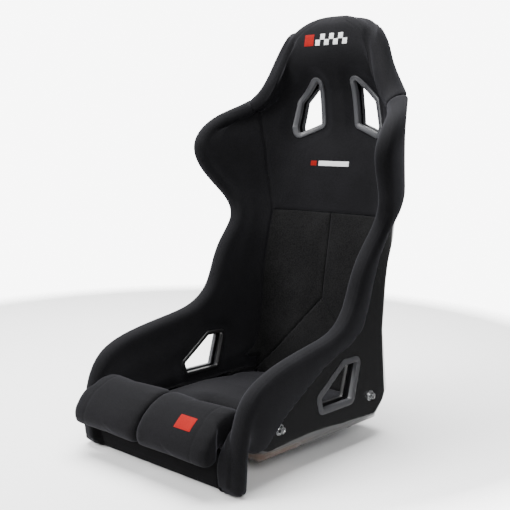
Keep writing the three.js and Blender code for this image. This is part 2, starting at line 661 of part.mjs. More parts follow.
function buildThighCushion() {
  const form = (inset, from, to) => prism(thighProfile(inset), 'yz', from, to, 5);
  const end = THIGH_X - COVER_CLOTH;
  const outer = form(0, -THIGH_X, THIGH_X);
  const opening = block(-end, end, -328, -272, THIGH_BOTTOM - 5, THIGH_BOTTOM + 4);
  addSolid('thigh_cushion_cover', outer.subtract(form(COVER_CLOTH, -end, end)).subtract(opening), COVER);
  for (const [word, side] of SIDES) {
    const ends = [side * 1, side * (end - TOUCH)].sort((a, b) => a - b);
    addSolid(`thigh_cushion_foam_${word}`, form(COVER_CLOTH + TOUCH, ...ends), FOAM);
  }
  addPart('thigh_cushion_base', new THREE.BoxGeometry(2 * end - 1, 54, 2)
    .translate(0, -300, THIGH_BOTTOM + 1.4), HOOK);
}

// Hook strips glued to the pan and to the lip, under the two cushions.
function buildHookStrips() {
  for (const [word, side] of SIDES) {
    const across = [side * 72, side * 98].sort((a, b) => a - b);
    const strip = layer(GAP, GAP + 1).intersect(block(across[0], across[1], -90, 60, -10, 40));
    addSolid(`pan_hook_strip_${word}`, strip, HOOK);
    const lipAcross = [side * 60, side * 150].sort((a, b) => a - b);
    const over = (u, v) => coverThickness(u, v) + 0.4;
    const lipStrip = layer(over, (u, v) => over(u, v) + 1)
      .intersect(block(lipAcross[0], lipAcross[1], -300, -278, 60, 90));
    addSolid(`lip_hook_strip_${word}`, lipStrip, HOOK);
  }
}

// ---------------------------------------------------------------- assembly
addSolid('shell', buildShell(), GRP);
const covers = coverPieces();
addSolid('head_cover', covers.head, COVER);
addSolid('back_panel_left', covers.backLeft, MESH_CLOTH);
addSolid('back_panel_right', covers.backRight, MESH_CLOTH);
addSolid('lumbar_panel', covers.lumbar, MESH_CLOTH);
addSolid('front_lip_cover', covers.lip, COVER);
addSolid('side_cover_left', covers.sideLeft, COVER);
addSolid('side_cover_right', covers.sideRight, COVER);
buildBezels();
buildHardware();
buildSeatCushion();
buildThighCushion();
buildHookStrips();

parts.position.z = -PAN_Z;

export default parts;
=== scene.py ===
"""Looks of a fixed-back racing seat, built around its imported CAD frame.

The shell, the glued covers and the bezels are rebuilt finely on the sweep that the CAD parts
are cut from, and the two loose cushions are swollen as cloth. Shapes are worked out in
millimetres above the lower edge of the front lip, and become metres in the row frame as
they turn into objects. The sitter faces -Y, and +X is the seat's left.
"""

import json
import math

import bmesh
import bpy
import numpy as np
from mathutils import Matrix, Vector
from mathutils.bvhtree import BVHTree

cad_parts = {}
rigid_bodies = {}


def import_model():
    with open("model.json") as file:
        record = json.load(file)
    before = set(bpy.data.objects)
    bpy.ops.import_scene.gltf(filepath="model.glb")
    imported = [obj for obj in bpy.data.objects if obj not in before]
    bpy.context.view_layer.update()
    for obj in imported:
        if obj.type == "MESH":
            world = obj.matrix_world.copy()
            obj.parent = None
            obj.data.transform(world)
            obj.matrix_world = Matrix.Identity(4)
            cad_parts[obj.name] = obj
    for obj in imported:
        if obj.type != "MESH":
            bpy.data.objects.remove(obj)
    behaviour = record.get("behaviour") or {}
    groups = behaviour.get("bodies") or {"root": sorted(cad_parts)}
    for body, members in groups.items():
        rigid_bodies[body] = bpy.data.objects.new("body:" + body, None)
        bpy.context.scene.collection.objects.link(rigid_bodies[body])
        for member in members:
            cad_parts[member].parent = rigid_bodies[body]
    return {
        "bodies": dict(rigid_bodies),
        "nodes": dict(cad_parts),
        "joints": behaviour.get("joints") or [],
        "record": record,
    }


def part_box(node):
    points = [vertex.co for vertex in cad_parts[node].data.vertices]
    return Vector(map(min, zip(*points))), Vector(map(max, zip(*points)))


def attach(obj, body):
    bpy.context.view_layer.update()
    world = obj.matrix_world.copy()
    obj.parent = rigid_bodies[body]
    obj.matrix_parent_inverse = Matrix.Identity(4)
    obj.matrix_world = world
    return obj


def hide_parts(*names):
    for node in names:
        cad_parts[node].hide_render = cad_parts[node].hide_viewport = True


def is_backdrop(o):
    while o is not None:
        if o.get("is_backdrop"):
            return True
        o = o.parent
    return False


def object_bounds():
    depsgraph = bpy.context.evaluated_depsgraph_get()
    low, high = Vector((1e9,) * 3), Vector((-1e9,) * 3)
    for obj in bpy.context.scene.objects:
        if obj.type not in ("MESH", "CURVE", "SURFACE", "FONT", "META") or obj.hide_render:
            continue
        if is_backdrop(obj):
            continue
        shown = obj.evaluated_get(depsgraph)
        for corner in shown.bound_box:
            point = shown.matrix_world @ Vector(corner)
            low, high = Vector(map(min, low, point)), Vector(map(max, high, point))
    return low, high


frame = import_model()
cad_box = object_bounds()

MM = 0.001
PAN_Z = 15.0  # underside of the pan above the lip's lower edge
SHELL = 4.0  # thickness of the laminate
PAD = 24.0  # thickness of the padding on the walls
RIM = 18.0  # radius of the padded roll along the rim
LIP_PAD = 6.0  # thickness of the cover over the front lip
FLAT_V = 0.28  # where a section's flat middle ends

# centre y, z | rim x, y, z | flat half width | corner x | floor and wall tension
STATIONS = np.array([
    (-316, 19, 208, -315, 20, 150, 180, 0.50, 0.50),
    (-321, 46, 209, -316, 64, 150, 187, 0.50, 0.50),
    (-309, 68, 210, -310, 108, 140, 201, 0.75, 0.60),
    (-272, 70, 210, -294, 152, 130, 206, 0.88, 0.70),
    (-215, 32, 210, -262, 183, 125, 205, 0.88, 0.75),
    (-110, 21, 208, -200, 205, 125, 204, 0.88, 0.78),
    (10, 18, 205, -110, 222, 125, 204, 0.88, 0.80),
    (122, 19, 202, -30, 242, 125, 204, 0.90, 0.85),
    (175, 74, 199, 16, 278, 110, 205, 0.95, 0.87),
    (188, 168, 198, 40, 326, 85, 204, 0.90, 0.80),
    (205, 308, 199, 69, 384, 65, 200, 0.75, 0.70),
    (227, 438, 203, 111, 442, 60, 203, 0.70, 0.65),
    (241, 528, 221, 109, 496, 60, 223, 0.65, 0.55),
    (253, 603, 246, 65, 556, 60, 231, 0.65, 0.45),
    (259, 658, 256, 47, 612, 60, 237, 0.65, 0.42),
    (254, 703, 242, 98, 663, 68, 226, 0.65, 0.45),
    (248, 748, 192, 167, 705, 70, 188, 0.70, 0.50),
    (239, 798, 149, 190, 773, 60, 154, 0.70, 0.50),
    (231, 838, 128, 203, 824, 48, 133, 0.70, 0.50),
    (225, 864, 103, 210, 859, 34, 102, 0.60, 0.50),
    (221, 879, 68, 214, 877, 20, 66, 0.60, 0.50),
    (220, 884, 26, 217, 883, 9, 24, 0.60, 0.50),
], float)
SHOULDER_SLOT = [(51, 758), (53, 659), (113, 637), (116, 651), (104, 706)]
LAP_SLOT = [(35, 180), (15, 107), (-76, 107), (-83, 129), (-7, 181)]
CROTCH_SLOT = [(-34, -201), (34, -201), (34, -177), (-34, -177)]
# Seams and edges: the side seam in front view (x, z), the covers' lower hem in side view (y, z).
SIDE_SEAM = [(182, -60), (182, 70), (178, 89), (167, 165), (158, 246), (155, 364), (155, 458),
             (162, 489), (171, 543), (173, 600), (180, 650), (190, 700), (215, 728), (330, 790),
             (330, 1000)]
HEM = [(-296, 12), (-284, 36), (-272, 55), (-261, 65), (-240, 81), (-209, 108), (-174, 130),
       (-124, 160), (-76, 191), (-28, 210), (24, 226), (59, 252), (75, 285), (85, 325),
       (114, 389), (146, 455)]
HEAD_SEAM_Z = 458.0
LUMBAR_TOP_Z = 265.0
LUMBAR_END = (200, 50)  # where the lumbar seam would end, beyond the side seam
# Room that the covers leave for the two loose cushions.
POCKET_X = 178.5
POCKET_REAR_Y = 149.0
POCKET_TOP = 93.0
POCKET_EDGE = 80.0  # the covers end here, behind the seat cushion's sides
CUSHION_FRONT_Y = -266.0
THIGH_REST_Z = 77.0
THIGH_POCKET_X = 184.5
BOLT_Y = (-204.0, 86.0)
BOLT_Z = 98.0
SIDES = (("left", 1.0), ("right", -1.0))


# ---------------------------------------------------------------- the swept surface
def smooth(low, high, t):
    s = np.clip((t - low) / (high - low), 0, 1)
    return s * s * (3 - 2 * s)


def natural_spline(knots, table):
    """Function that gives the rows of the table between its knots."""
    gaps = np.diff(knots)
    count = len(knots)
    system = np.eye(count)
    right = np.zeros_like(table)
    for i in range(1, count - 1):
        system[i, i - 1:i + 2] = gaps[i - 1], 2 * (gaps[i - 1] + gaps[i]), gaps[i]
        after, before = (table[i + 1] - table[i]) / gaps[i], (table[i] - table[i - 1]) / gaps[i - 1]
        right[i] = 6 * (after - before)
    bend = np.linalg.solve(system, right)

    def rows(q):
        k = np.clip(np.searchsorted(knots, q, side="right") - 1, 0, count - 2)
        h = gaps[k][:, None]
        a = (knots[k + 1] - q)[:, None] / h
        b = (q - knots[k])[:, None] / h
        curve = (a**3 - a) * bend[k] + (b**3 - b) * bend[k + 1]
        return a * table[k] + b * table[k + 1] + curve * h * h / 6

    return rows


steps = np.diff(STATIONS, axis=0)
KNOTS = np.concatenate([[0], np.cumsum(np.sqrt(
    np.hypot(steps[:, 0], steps[:, 1]) + np.hypot(steps[:, 3], steps[:, 4])))])
station_rows = natural_spline(KNOTS, STATIONS)


def surface(u, v, crisp=0.0):
    """Points of the shell's inside surface: u runs lip to head, v runs rim to rim."""
    at_station = station_rows(np.clip(u, 0, 1) * KNOTS[-1])
    cy, cz, rx, ry, rz, flat, corner, floor_pull, wall_pull = at_station.T
    share = crisp * smooth(0.10, 0.17, u) * (1 - smooth(0.46, 0.60, u))
    flat = flat + share * (corner - 42 - flat)
    floor_pull = floor_pull + share * (0.97 - floor_pull)
    wall_pull = wall_pull + share * (0.95 - wall_pull)
    side = np.abs(v)
    t = np.clip((side - FLAT_V) / (1 - FLAT_V), 0, 1)
    s = 1 - t
    pull_x = flat + floor_pull * (corner - flat)
    wall_x = rx + wall_pull * (corner - rx)
    wall = s**3 * flat + 3 * s * s * t * pull_x + 3 * s * t * t * wall_x + t**3 * rx
    x = np.where(side < FLAT_V, flat * side / FLAT_V, wall)
    rise = 3 * s * t * t * (1 - wall_pull) + t**3
    return np.stack([np.sign(v) * x, cy + rise * (ry - cy), cz + rise * (rz - cz)], 1)


HEAD_NORMAL = np.array([0.0, -0.973, -0.233])


def unit(vectors):
    return vectors / np.maximum(np.linalg.norm(vectors, axis=-1, keepdims=True), 1e-9)


def normals(u, v, crisp=0.0):
    """Unit normals of the inside surface, pointing into the bucket."""
    step = 1e-3
    u_low, u_high = np.maximum(u - step, 0), np.minimum(u + step, 1)
    v_low, v_high = np.maximum(v - step, -1), np.minimum(v + step, 1)
    along = surface(u_high, v, crisp) - surface(u_low, v, crisp)
    across = surface(u, v_high, crisp) - surface(u, v_low, crisp)
    normal = unit(np.cross(across, along))
    crown = smooth(838, 866, surface(u, v, crisp)[:, 2])[:, None]  # the rows run together there
    return unit(normal * (1 - crown) + HEAD_NORMAL * crown)


def pairs_of(first, second):
    """Every pair of one value from each list, as two flat lists."""
    return (a.ravel() for a in np.meshgrid(first, second, indexing="ij"))


def even_rows(count):
    """Places along the sweep that are an even distance apart."""
    fine = np.linspace(0, 1, 2001)
    centre = surface(fine, np.zeros_like(fine))
    rim = surface(fine, np.ones_like(fine))
    length = np.linalg.norm(np.diff(centre, axis=0), axis=1)
    length = length + np.linalg.norm(np.diff(rim, axis=0), axis=1)
    reach = np.concatenate([[0], np.cumsum(length)])
    return np.interp(np.linspace(0, reach[-1], count), reach, fine)


# ---------------------------------------------------------------- sheets of triangles
# A sheet's points carry these columns, so that a cut edge keeps them all.
SKIN, BASE, NORMAL = slice(0, 3), slice(3, 6), slice(6, 9)
U, V, TURN, EDGE = 9, 10, 11, 12  # TURN: 0 inside, 1 outside; EDGE: mm from the rim


def edges_of(triangles):
    return np.concatenate([triangles[:, [0, 1]], triangles[:, [1, 2]], triangles[:, [2, 0]]])


class Sheet:
    def __init__(self, data, triangles):
        self.data = data
        self.triangles = triangles
        self.skin, self.base, self.normal = data[:, SKIN], data[:, BASE], data[:, NORMAL]
        self.turn = data[:, TURN]

    def split(self, values):
        """Adds points where values change sign, and tells which triangles are positive."""
        values = np.where(np.abs(values) < 1e-6, 1e-6, values)
        inside = values[self.triangles] > 0
        count = inside.sum(1)
        mixed = (count == 1) | (count == 2)
        cut, flags = self.triangles[mixed], inside[mixed]
        single = flags.sum(1) == 1
        lone = np.where(single, flags.argmax(1), (~flags).argmax(1))
        order = np.arange(len(cut))
        a, b, c = (cut[order, (lone + k) % 3] for k in range(3))
        pairs = np.sort(np.stack([np.r_[a, a], np.r_[b, c]], 1), 1)
        edges, place = np.unique(pairs, axis=0, return_inverse=True)
        place = place.reshape(-1)
        first, second = values[edges[:, 0]], values[edges[:, 1]]
        share = (first / (first - second))[:, None]
        added = self.data[edges[:, 0]] * (1 - share) + self.data[edges[:, 1]] * share
        start = len(self.data)
        ab, ac = start + place[:len(a)], start + place[len(a):]
        triangles = np.concatenate([
            self.triangles[~mixed], np.stack([a, ab, ac], 1),
            np.stack([ab, b, c], 1), np.stack([ab, c, ac], 1)])
        signs = np.concatenate([count[~mixed] == 3, single, ~single, ~single])
        return Sheet(np.concatenate([self.data, added]), triangles), signs

    def refined(self, field, levels):
        """The sheet with points along each level of a field of its columns."""
        sheet = self
        for level in levels:
            sheet, _ = sheet.split(field(sheet) - level)
        return sheet

    def clipped(self, field):
        """The part of the sheet where the field is positive."""
        sheet, signs = self.split(field(self))
        return sheet.kept(signs)

    def kept(self, chosen):
        triangles = self.triangles[chosen]
        used, place = np.unique(triangles, return_inverse=True)
        return Sheet(self.data[used], place.reshape(-1, 3))

    def closed(self):
        """Points and triangles of the skin joined to its base along every open edge."""
        count = len(self.data)
        t = self.triangles
        directed = edges_of(t)
        keys = directed[:, 0] * count + directed[:, 1]
        back = directed[:, 1] * count + directed[:, 0]
        a, b = directed[~np.isin(keys, back)].T
        walls = np.concatenate([np.stack([b, a, a + count], 1),
                                np.stack([b, a + count, b + count], 1)])
        points = np.concatenate([self.skin, self.base])
        return points, np.concatenate([t, t[:, ::-1] + count, walls])


def grid_triangles(rows, columns, flip=False):
    """Triangles of a grid, with the diagonals mirrored about its middle column."""
    i, j = np.meshgrid(np.arange(rows - 1), np.arange(columns - 1), indexing="ij")
    a = (i * columns + j).ravel()
    b, c, d = a + 1, a + columns + 1, a + columns
    left = (2 * j.ravel() + 1) < columns
    one = np.where(left[:, None], np.stack([a, b, c], 1), np.stack([a, b, d], 1))
    two = np.where(left[:, None], np.stack([a, c, d], 1), np.stack([b, c, d], 1))
    triangles = np.concatenate([one, two])
    return triangles[:, ::-1] if flip else triangles


ROWS, COLUMNS, ROLL = 241, 129, 9
u_grid, v_grid = pairs_of(even_rows(ROWS), np.linspace(-1, 1, COLUMNS))
sheet_points = surface(u_grid, v_grid)
sheet_normals = normals(u_grid, v_grid)


# ---------------------------------------------------------------- the laminate's flat facets
FACET_Z = [50, 75, 92, 231, 330, 440]
CREASE_Y = [95, 122, 131, 118, 126, 144]  # crease between the wall and the rear corner, by z
REAR_EDGE = [224, 246, 253.5, 238, 244, 258]  # reach of the rearmost facet, by z


def facet_planes(points):
    """Distances outside the shell's corner facets, and their normals, for its outer face."""
    reach, y, z = np.abs(points[:, 0]), points[:, 1], points[:, 2]
    crease, outline = np.interp(z, FACET_Z, CREASE_Y), np.interp(z, FACET_Z, REAR_EDGE)
    ahead = 80 * (1 - smooth(-290, -262, y))  # the lip's corners are left round
    above = 16 * smooth(360, 500, z)
    return [(a * reach + b * y + c * z - through, np.array([a, b, c])) for a, b, c, through in (
        (0.7071, 0.0, -0.7071, 106.1 + ahead), (0.495, 0.0, -0.869, 59.7 + ahead),
        (0.866, 0.5, 0.0, 0.866 * 208 + 0.5 * crease + above),
        (0.731, 0.682, 0.0, outline + above))]


def faceted(points, depth):
    """Points brought back to the facets, which lie depth millimetres inside the outer face."""
    points = points.copy()
    sign = np.sign(points[:, :1])
    for _ in range(3):
        for k in range(4):
            outside, normal = facet_planes(points)[k]
            points -= np.maximum(outside + depth, 0)[:, None] * normal * np.concatenate(
                [sign, np.ones_like(sign), np.ones_like(sign)], 1)
    return points


shell_points = surface(u_grid, v_grid, 1.0)  # the laminate's corners are tighter than its padding's
shell_normals = normals(u_grid, v_grid, 1.0)


def rim_cells():
    """Indices of the grid's boundary points, once round."""
    index = np.arange(ROWS * COLUMNS).reshape(ROWS, COLUMNS)
    return np.concatenate([index[:-1, -1], index[-1, :0:-1], index[:0:-1, 0], index[0, :-1]])


def rim_directions(cells, reach=30.0):
    """Directions in the surface that point off its edge, averaged over a reach along the rim."""
    points, normal = sheet_points[cells], sheet_normals[cells]
    along = np.roll(points, -1, 0) - np.roll(points, 1, 0)
    out = unit(-np.cross(normal, along))
    gaps = np.linalg.norm(np.roll(points, -1, 0) - points, axis=1)
    places = np.cumsum(gaps)
    apart = np.abs(places[:, None] - places[None, :])
    apart = np.minimum(apart, places[-1] - apart)
    weight = np.exp(-0.5 * (apart / reach) ** 2) * (gaps + np.roll(gaps, 1))[None, :]
    out = unit(weight @ out)
    return unit(out - (out * normal).sum(1, keepdims=True) * normal)


RIM_CELLS = rim_cells()
RIM_OUT = rim_directions(RIM_CELLS)


def rim_distance():
    """Distance in millimetres from each grid point to the rim of its row."""
    grid = sheet_points.reshape(ROWS, COLUMNS, 3)
    half = COLUMNS // 2
    spans = np.linalg.norm(np.diff(grid[:, half:], axis=1), axis=2)
    reach = np.cumsum(spans[:, ::-1], axis=1)[:, ::-1]
    reach = np.concatenate([reach, np.zeros((ROWS, 1))], 1)
    return np.concatenate([reach[:, :0:-1], reach], 1).ravel()


EDGE_MM = rim_distance()


def in_front(u, v):
    """Share of the thin lip cover at a place: one over the front lip, none on the walls."""
    return (1 - smooth(0.10, 0.15, u)) * (1 - smooth(0.50, 0.62, np.abs(v)))


def inside_cover(u, v):
    edge = np.minimum(smooth(0, 0.12, 1 - np.abs(v)), smooth(0, 0.05, 1 - u))
    wall = RIM + (PAD - RIM) * edge
    return wall + (LIP_PAD - wall) * in_front(u, v)


def hem_table():
    """Places along the sweep and the hem's place across it there."""
    u, v = pairs_of(np.linspace(0.08, 0.7, 280), np.linspace(0.3, 1, 180))
    points = faceted(surface(u, v, 1.0) - SHELL * normals(u, v, 1.0), 0)
    wall = points[:, 0] > 150
    u, v, points = u[wall], v[wall], points[wall]
    found = []
    for y, z in HEM:
        nearest = np.argmin(np.hypot(points[:, 1] - y, points[:, 2] - z))
        found.append((u[nearest], v[nearest]))
    last = found[-1]
    found += [(last[0] + 0.05, 0.56), (0.93, 0.50), (0.97, 0.25), (1.0, 0.0)]
    return np.array(sorted([(0.0, 0.2), *found]))


HEM_PLACES = hem_table()


def hem_at(u):
    """The hem's place across the sweep, a little smoothed along it."""
    spread = np.linspace(-0.016, 0.016, 9)
    return np.mean([np.interp(u + d, HEM_PLACES[:, 0], HEM_PLACES[:, 1]) for d in spread], axis=0)


def outside_cover(u, v):
    """Thickness of the wrapped cover: thin at its hem, and rounding up to the rim's roll."""
    hem = hem_at(u)
    share = np.clip((np.abs(v) - hem) / (1 - hem), 0, 1)
    return 6.0 + (RIM - 6.0) * (1 - (1 - share) ** 1.7)


def fill_head(skin, u, v, inner):
    """Brings the head's face out nearly flush with its rim, as a crowned pad."""
    flush = surface(u, np.ones_like(u))[:, 1] - 0.95 * RIM - 3 * (1 - v**2)
    z = skin[:, 2]
    beside = smooth(0.0, 0.3, np.abs(v) - 0.7 + 0.5 * smooth(740, 840, z))
    share = np.maximum(0.9 * smooth(728, 845, z), 0.8 * beside * smooth(640, 730, z)) * inner
    skin[:, 1] += share * np.minimum(flush - skin[:, 1], 0)


def even_out(sheet, rounds=40):
    """Smooths the head's padding, where the rows of the surface run together."""
    pairs = edges_of(sheet.triangles)
    start, end = np.concatenate([pairs, pairs[:, ::-1]]).T
    skin = sheet.skin
    count = np.maximum(np.bincount(start, minlength=len(skin)), 1)
    share = 0.6 * smooth(735, 850, skin[:, 2]) * (1 - smooth(0.6, 0.9, sheet.turn))
    for _ in range(rounds):
        for axis in range(3):
            mean = np.bincount(start, weights=skin[end, axis], minlength=len(skin)) / count
            skin[:, axis] += share * (mean - skin[:, axis])


def padded_sheet():
    """Skin of everything that is padded, from the inside over the rim to the outside."""
    columns = np.zeros((ROWS * COLUMNS, 13))
    columns[:, NORMAL] = sheet_normals
    columns[:, U], columns[:, V], columns[:, EDGE] = u_grid, v_grid, EDGE_MM
    inside, outside = columns.copy(), columns
    inside[:, SKIN] = sheet_points + sheet_normals * inside_cover(u_grid, v_grid)[:, None]
    inside[:, BASE] = sheet_points + 0.8 * sheet_normals
    cover = outside_cover(u_grid, v_grid)
    outside[:, SKIN] = faceted(shell_points - shell_normals * cover[:, None], SHELL - cover)
    outside[:, BASE] = faceted(shell_points - 4.8 * shell_normals, -0.8)
    outside[:, NORMAL] = shell_normals
    outside[:, TURN] = 1
    cells = RIM_CELLS
    point, normal = sheet_points[cells], sheet_normals[cells]
    front = in_front(u_grid[cells], v_grid[cells])[:, None]
    depth = RIM + (LIP_PAD - RIM) * front
    inside[cells, SKIN] = point + normal * depth
    outside[cells, SKIN] = point - normal * RIM
    fill_head(inside[:, SKIN], u_grid, v_grid, 1.0)
    rings = []
    for step in range(1, ROLL):
        turn = step / ROLL
        out, up = math.sin(math.pi * turn), math.cos(math.pi * turn)
        ring = inside[cells].copy()
        lift = up * (depth if turn < 0.5 else RIM)
        ring[:, SKIN] = point + RIM_OUT * RIM * out**(1 - 0.5 * front) + normal * lift
        fill_head(ring[:, SKIN], u_grid[cells], v_grid[cells], 1 - smooth(0.1, 0.45, turn))
        ring[:, BASE] = point - 2 * normal + 2.8 * (RIM_OUT * out + normal * up)
        ring[:, NORMAL] = RIM_OUT * out + normal * up
        ring[:, TURN] = turn
        rings.append(ring)
    outside[:, NORMAL] *= -1
    size = ROWS * COLUMNS
    count = len(cells)
    loops = [cells] + [size + r * count + np.arange(count) for r in range(ROLL - 1)]
    loops.append(cells + size + (ROLL - 1) * count)
    triangles = [grid_triangles(ROWS, COLUMNS)]
    for near, far in zip(loops, loops[1:]):
        near_next, far_next = np.roll(near, -1), np.roll(far, -1)
        triangles += [np.stack([near, far, far_next], 1),
                      np.stack([near, far_next, near_next], 1)]
    triangles.append(grid_triangles(ROWS, COLUMNS, flip=True) + size + (ROLL - 1) * count)
    sheet = Sheet(np.concatenate([inside, *rings, outside]), np.concatenate(triangles))
    even_out(sheet)
    return sheet


# ---------------------------------------------------------------- seams and outlines
def line_distance(points, corners):
    """Distance to an open line of corners in a plane, and the direction away from it."""
    corners = np.array(corners, float)
    best = np.full(len(points), np.inf)
    away = np.zeros((len(points), 2))
    for start, end in zip(corners, corners[1:]):
        along = end - start
        share = np.clip(((points - start) @ along) / (along @ along), 0, 1)
        gap = points - start - share[:, None] * along
        distance = np.linalg.norm(gap, axis=1)
        nearer = distance < best
        best[nearer] = distance[nearer]
        away[nearer] = gap[nearer] / np.maximum(distance[nearer], 1e-6)[:, None]
    return best, away


def mirrored(points):
    return np.stack([np.abs(points[:, 0]), points[:, 2]], 1)


def seam_distance(sheet, corners):
    """Distance along the skin from a line of corners in front view."""
    skin = sheet.skin
    distance, away = line_distance(mirrored(skin), corners)
    normal = sheet.normal
    lean = away[:, 0] * normal[:, 0] * np.sign(skin[:, 0]) + away[:, 1] * normal[:, 2]
    return distance / np.sqrt(np.maximum(1 - lean**2, 0.08))


def side_field(sheet):
    """Signed distance from the side seam: positive in the side covers."""
    flat = mirrored(sheet.skin)
    seam = np.array(SIDE_SEAM, float)
    outer = flat[:, 0] > np.interp(flat[:, 1], seam[:, 1], seam[:, 0])
    return np.where(outer, 1, -1) * seam_distance(sheet, SIDE_SEAM)


def on_back(sheet):
    return (sheet.turn < 0.5) & (sheet.data[:, 1] > 60)


def line_field(corners):
    """Field of the distance from a seam on the back of the seat, large elsewhere."""
    return lambda sheet: np.where(on_back(sheet), seam_distance(sheet, corners), 200.0)


head_line = line_field([(0, HEAD_SEAM_Z), (150, HEAD_SEAM_Z)])
centre_line = line_field([(0, HEAD_SEAM_Z), (0, LUMBAR_TOP_Z)])
lumbar_line = line_field([(0, LUMBAR_TOP_Z), LUMBAR_END])


def hem_field(sheet):
    """Distance in millimetres inside the hem of the wrapped covers, large elsewhere."""
    past = (np.abs(sheet.data[:, V]) - hem_at(sheet.data[:, U])) * 400
    return np.where(sheet.turn > 0.99, past, 300.0)


def roll_off(distance, width, depth):
    """How far a padded edge has rolled down at a distance from its seam."""
    share = np.clip(1 - np.abs(distance) / width, 0, 1)
    return depth * (1 - np.sqrt(1 - share**2))


def shrunk(corners, inset):
    """Corners of an outline let in by inset, and its edge normals, counter-clockwise."""
    points = np.array(corners, float)
    ahead = np.roll(points, -1, 0)
    if (points[:, 0] * ahead[:, 1] - points[:, 1] * ahead[:, 0]).sum() < 0:
        points = points[::-1]
    along = unit(np.roll(points, -1, 0) - points)
    out = np.stack([along[:, 1], -along[:, 0]], 1)
    start = points - out * inset
    before, before_start = np.roll(along, 1, 0), np.roll(start, 1, 0)
    gap = start - before_start
    cross = lambda p, q: p[:, 0] * q[:, 1] - p[:, 1] * q[:, 0]
    reach = cross(gap, along) / cross(before, along)
    return before_start + before * reach[:, None], out


SLOT_ROUND = 3.5  # radius of a slot's corners


def slot_distance(points, corners):
    """Signed distance from a slot's outline with round corners, positive outside it."""
    inner, out = shrunk(corners, SLOT_ROUND)
    distance, _ = line_distance(points, [*inner, inner[0]])
    within = np.all([(points - p) @ n < 0 for p, n in zip(inner, out)], axis=0)
    return np.where(within, -distance, distance) - SLOT_ROUND


def slot_loop(corners, grow, spacing=6.0, turn=6):
    """Points of a slot's outline let out by grow; the count doesn't depend on grow."""
    inner, out = shrunk(corners, SLOT_ROUND)
    loop = []
    radius = SLOT_ROUND + grow
    for k, corner in enumerate(inner):
        before, after = out[k - 1], out[k]
        start = math.atan2(before[1], before[0])
        sweep = (math.atan2(after[1], after[0]) - start) % (2 * math.pi)
        for step in range(turn + 1):
            angle = start + sweep * step / turn
            loop.append(corner + radius * np.array([math.cos(angle), math.sin(angle)]))
        end = inner[(k + 1) % len(inner)]
        pieces = max(int(np.linalg.norm(end - corner) / spacing), 1)
        for step in range(1, pieces):
            loop.append(corner + (end - corner) * step / pieces + radius * after)
    return np.array(loop)


def shoulder_slot(sheet):
    """Distance from the shoulder slots in front view, over the back of the seat only."""
    skin = sheet.skin
    distance = slot_distance(mirrored(skin), SHOULDER_SLOT)
    return np.where(skin[:, 1] > 100, distance, 300.0)


def lap_slot(sheet):
    """Distance from the lap slots in side view, over the side walls only."""
    skin = sheet.skin
    distance = slot_distance(skin[:, 1:3], LAP_SLOT)
    return np.where(np.abs(skin[:, 0]) > 120, distance, 300.0)


# ---------------------------------------------------------------- materials
class Nodes:
    """Short calls for the nodes of one material or world."""

    def __init__(self, owner, frame="Object"):
        owner.use_nodes = True
        self.tree = owner.node_tree
        self.place = self.add("ShaderNodeTexCoord").outputs[frame]

    def add(self, kind, **inputs):
        node = self.tree.nodes.new(kind)
        for name, value in inputs.items():
            self.put(node.inputs[name.replace("_", " ")], value)
        return node

    def put(self, socket, value):
        if isinstance(value, bpy.types.NodeSocket):
            self.tree.links.new(value, socket)
        else:
            socket.default_value = value

    def noise(self, scale, detail=3.0):
        node = self.add("ShaderNodeTexNoise", Vector=self.place, Scale=scale, Detail=detail)
        return node.outputs["Fac"]

    def cells(self, scale):
        return self.add("ShaderNodeTexVoronoi", Vector=self.place, Scale=scale).outputs["Distance"]

    def scaled(self, value, low, high, to_low, to_high, steps="LINEAR"):
        node = self.add("ShaderNodeMapRange", Value=value, From_Min=low, From_Max=high,
                        To_Min=to_low, To_Max=to_high)
        node.interpolation_type = steps
        return node.outputs["Result"]

    def math(self, operation, first, second, kind="ShaderNodeMath"):
        node = self.add(kind)
        node.operation = operation
        self.put(node.inputs[0], first)
        self.put(node.inputs[1], second)
        return node.outputs["Value"]

    def mix(self, factor, first, second):
        node = self.add("ShaderNodeMix", Factor=factor)
        node.data_type = "RGBA"
        self.put(node.inputs[6], first)
        self.put(node.inputs[7], second)
        return node.outputs[2]

    def blend(self, factor, first, second, output):
        """Mixes two shaders into the output."""
        node = self.add("ShaderNodeMixShader")
        for socket, value in zip(node.inputs, (factor, first, second)):
            self.put(socket, value)
        self.put(self.tree.nodes[output].inputs["Surface"], node.outputs[0])

    def bump(self, height, strength, distance):
        node = self.add("ShaderNodeBump", Height=height, Strength=strength, Distance=distance)
        return node.outputs["Normal"]


def node_material(name):
    material = bpy.data.materials.new(name)
    nodes = Nodes(material)
    nodes.shader = nodes.tree.nodes["Principled BSDF"]
    return material, nodes


def finish(nodes, **inputs):
    """Sets the shader's inputs, from sockets or as plain values."""
    for name, value in inputs.items():
        nodes.put(nodes.shader.inputs[name.replace("_", " ")], value)


def fabric(name, dark, light, knit, sheen, depth=0.0004):
    """Knitted cloth: fine loops, a little unevenness and a soft sheen at grazing angles."""
    material, nodes = node_material(name)
    loops, fibres, broad = nodes.cells(knit), nodes.noise(knit * 3.1, 2.0), nodes.noise(14.0)
    tone = nodes.math("ADD", nodes.scaled(loops, 0.1, 0.7, 0.75, 0.0),
                      nodes.scaled(broad, 0.3, 0.7, 0.0, 0.35))
    weave = nodes.add("ShaderNodeBump", Height=fibres, Strength=0.35, Distance=depth / 2,
                      Normal=nodes.bump(loops, 0.55, depth))
    finish(nodes, Base_Color=nodes.mix(tone, dark, light),
           Roughness=nodes.scaled(fibres, 0.3, 0.7, 0.86, 1.0), Specular_IOR_Level=0.08,
           Sheen_Weight=sheen, Sheen_Roughness=0.45, Sheen_Tint=(0.86, 0.86, 1.0, 1),
           Normal=weave.outputs["Normal"])
    return material


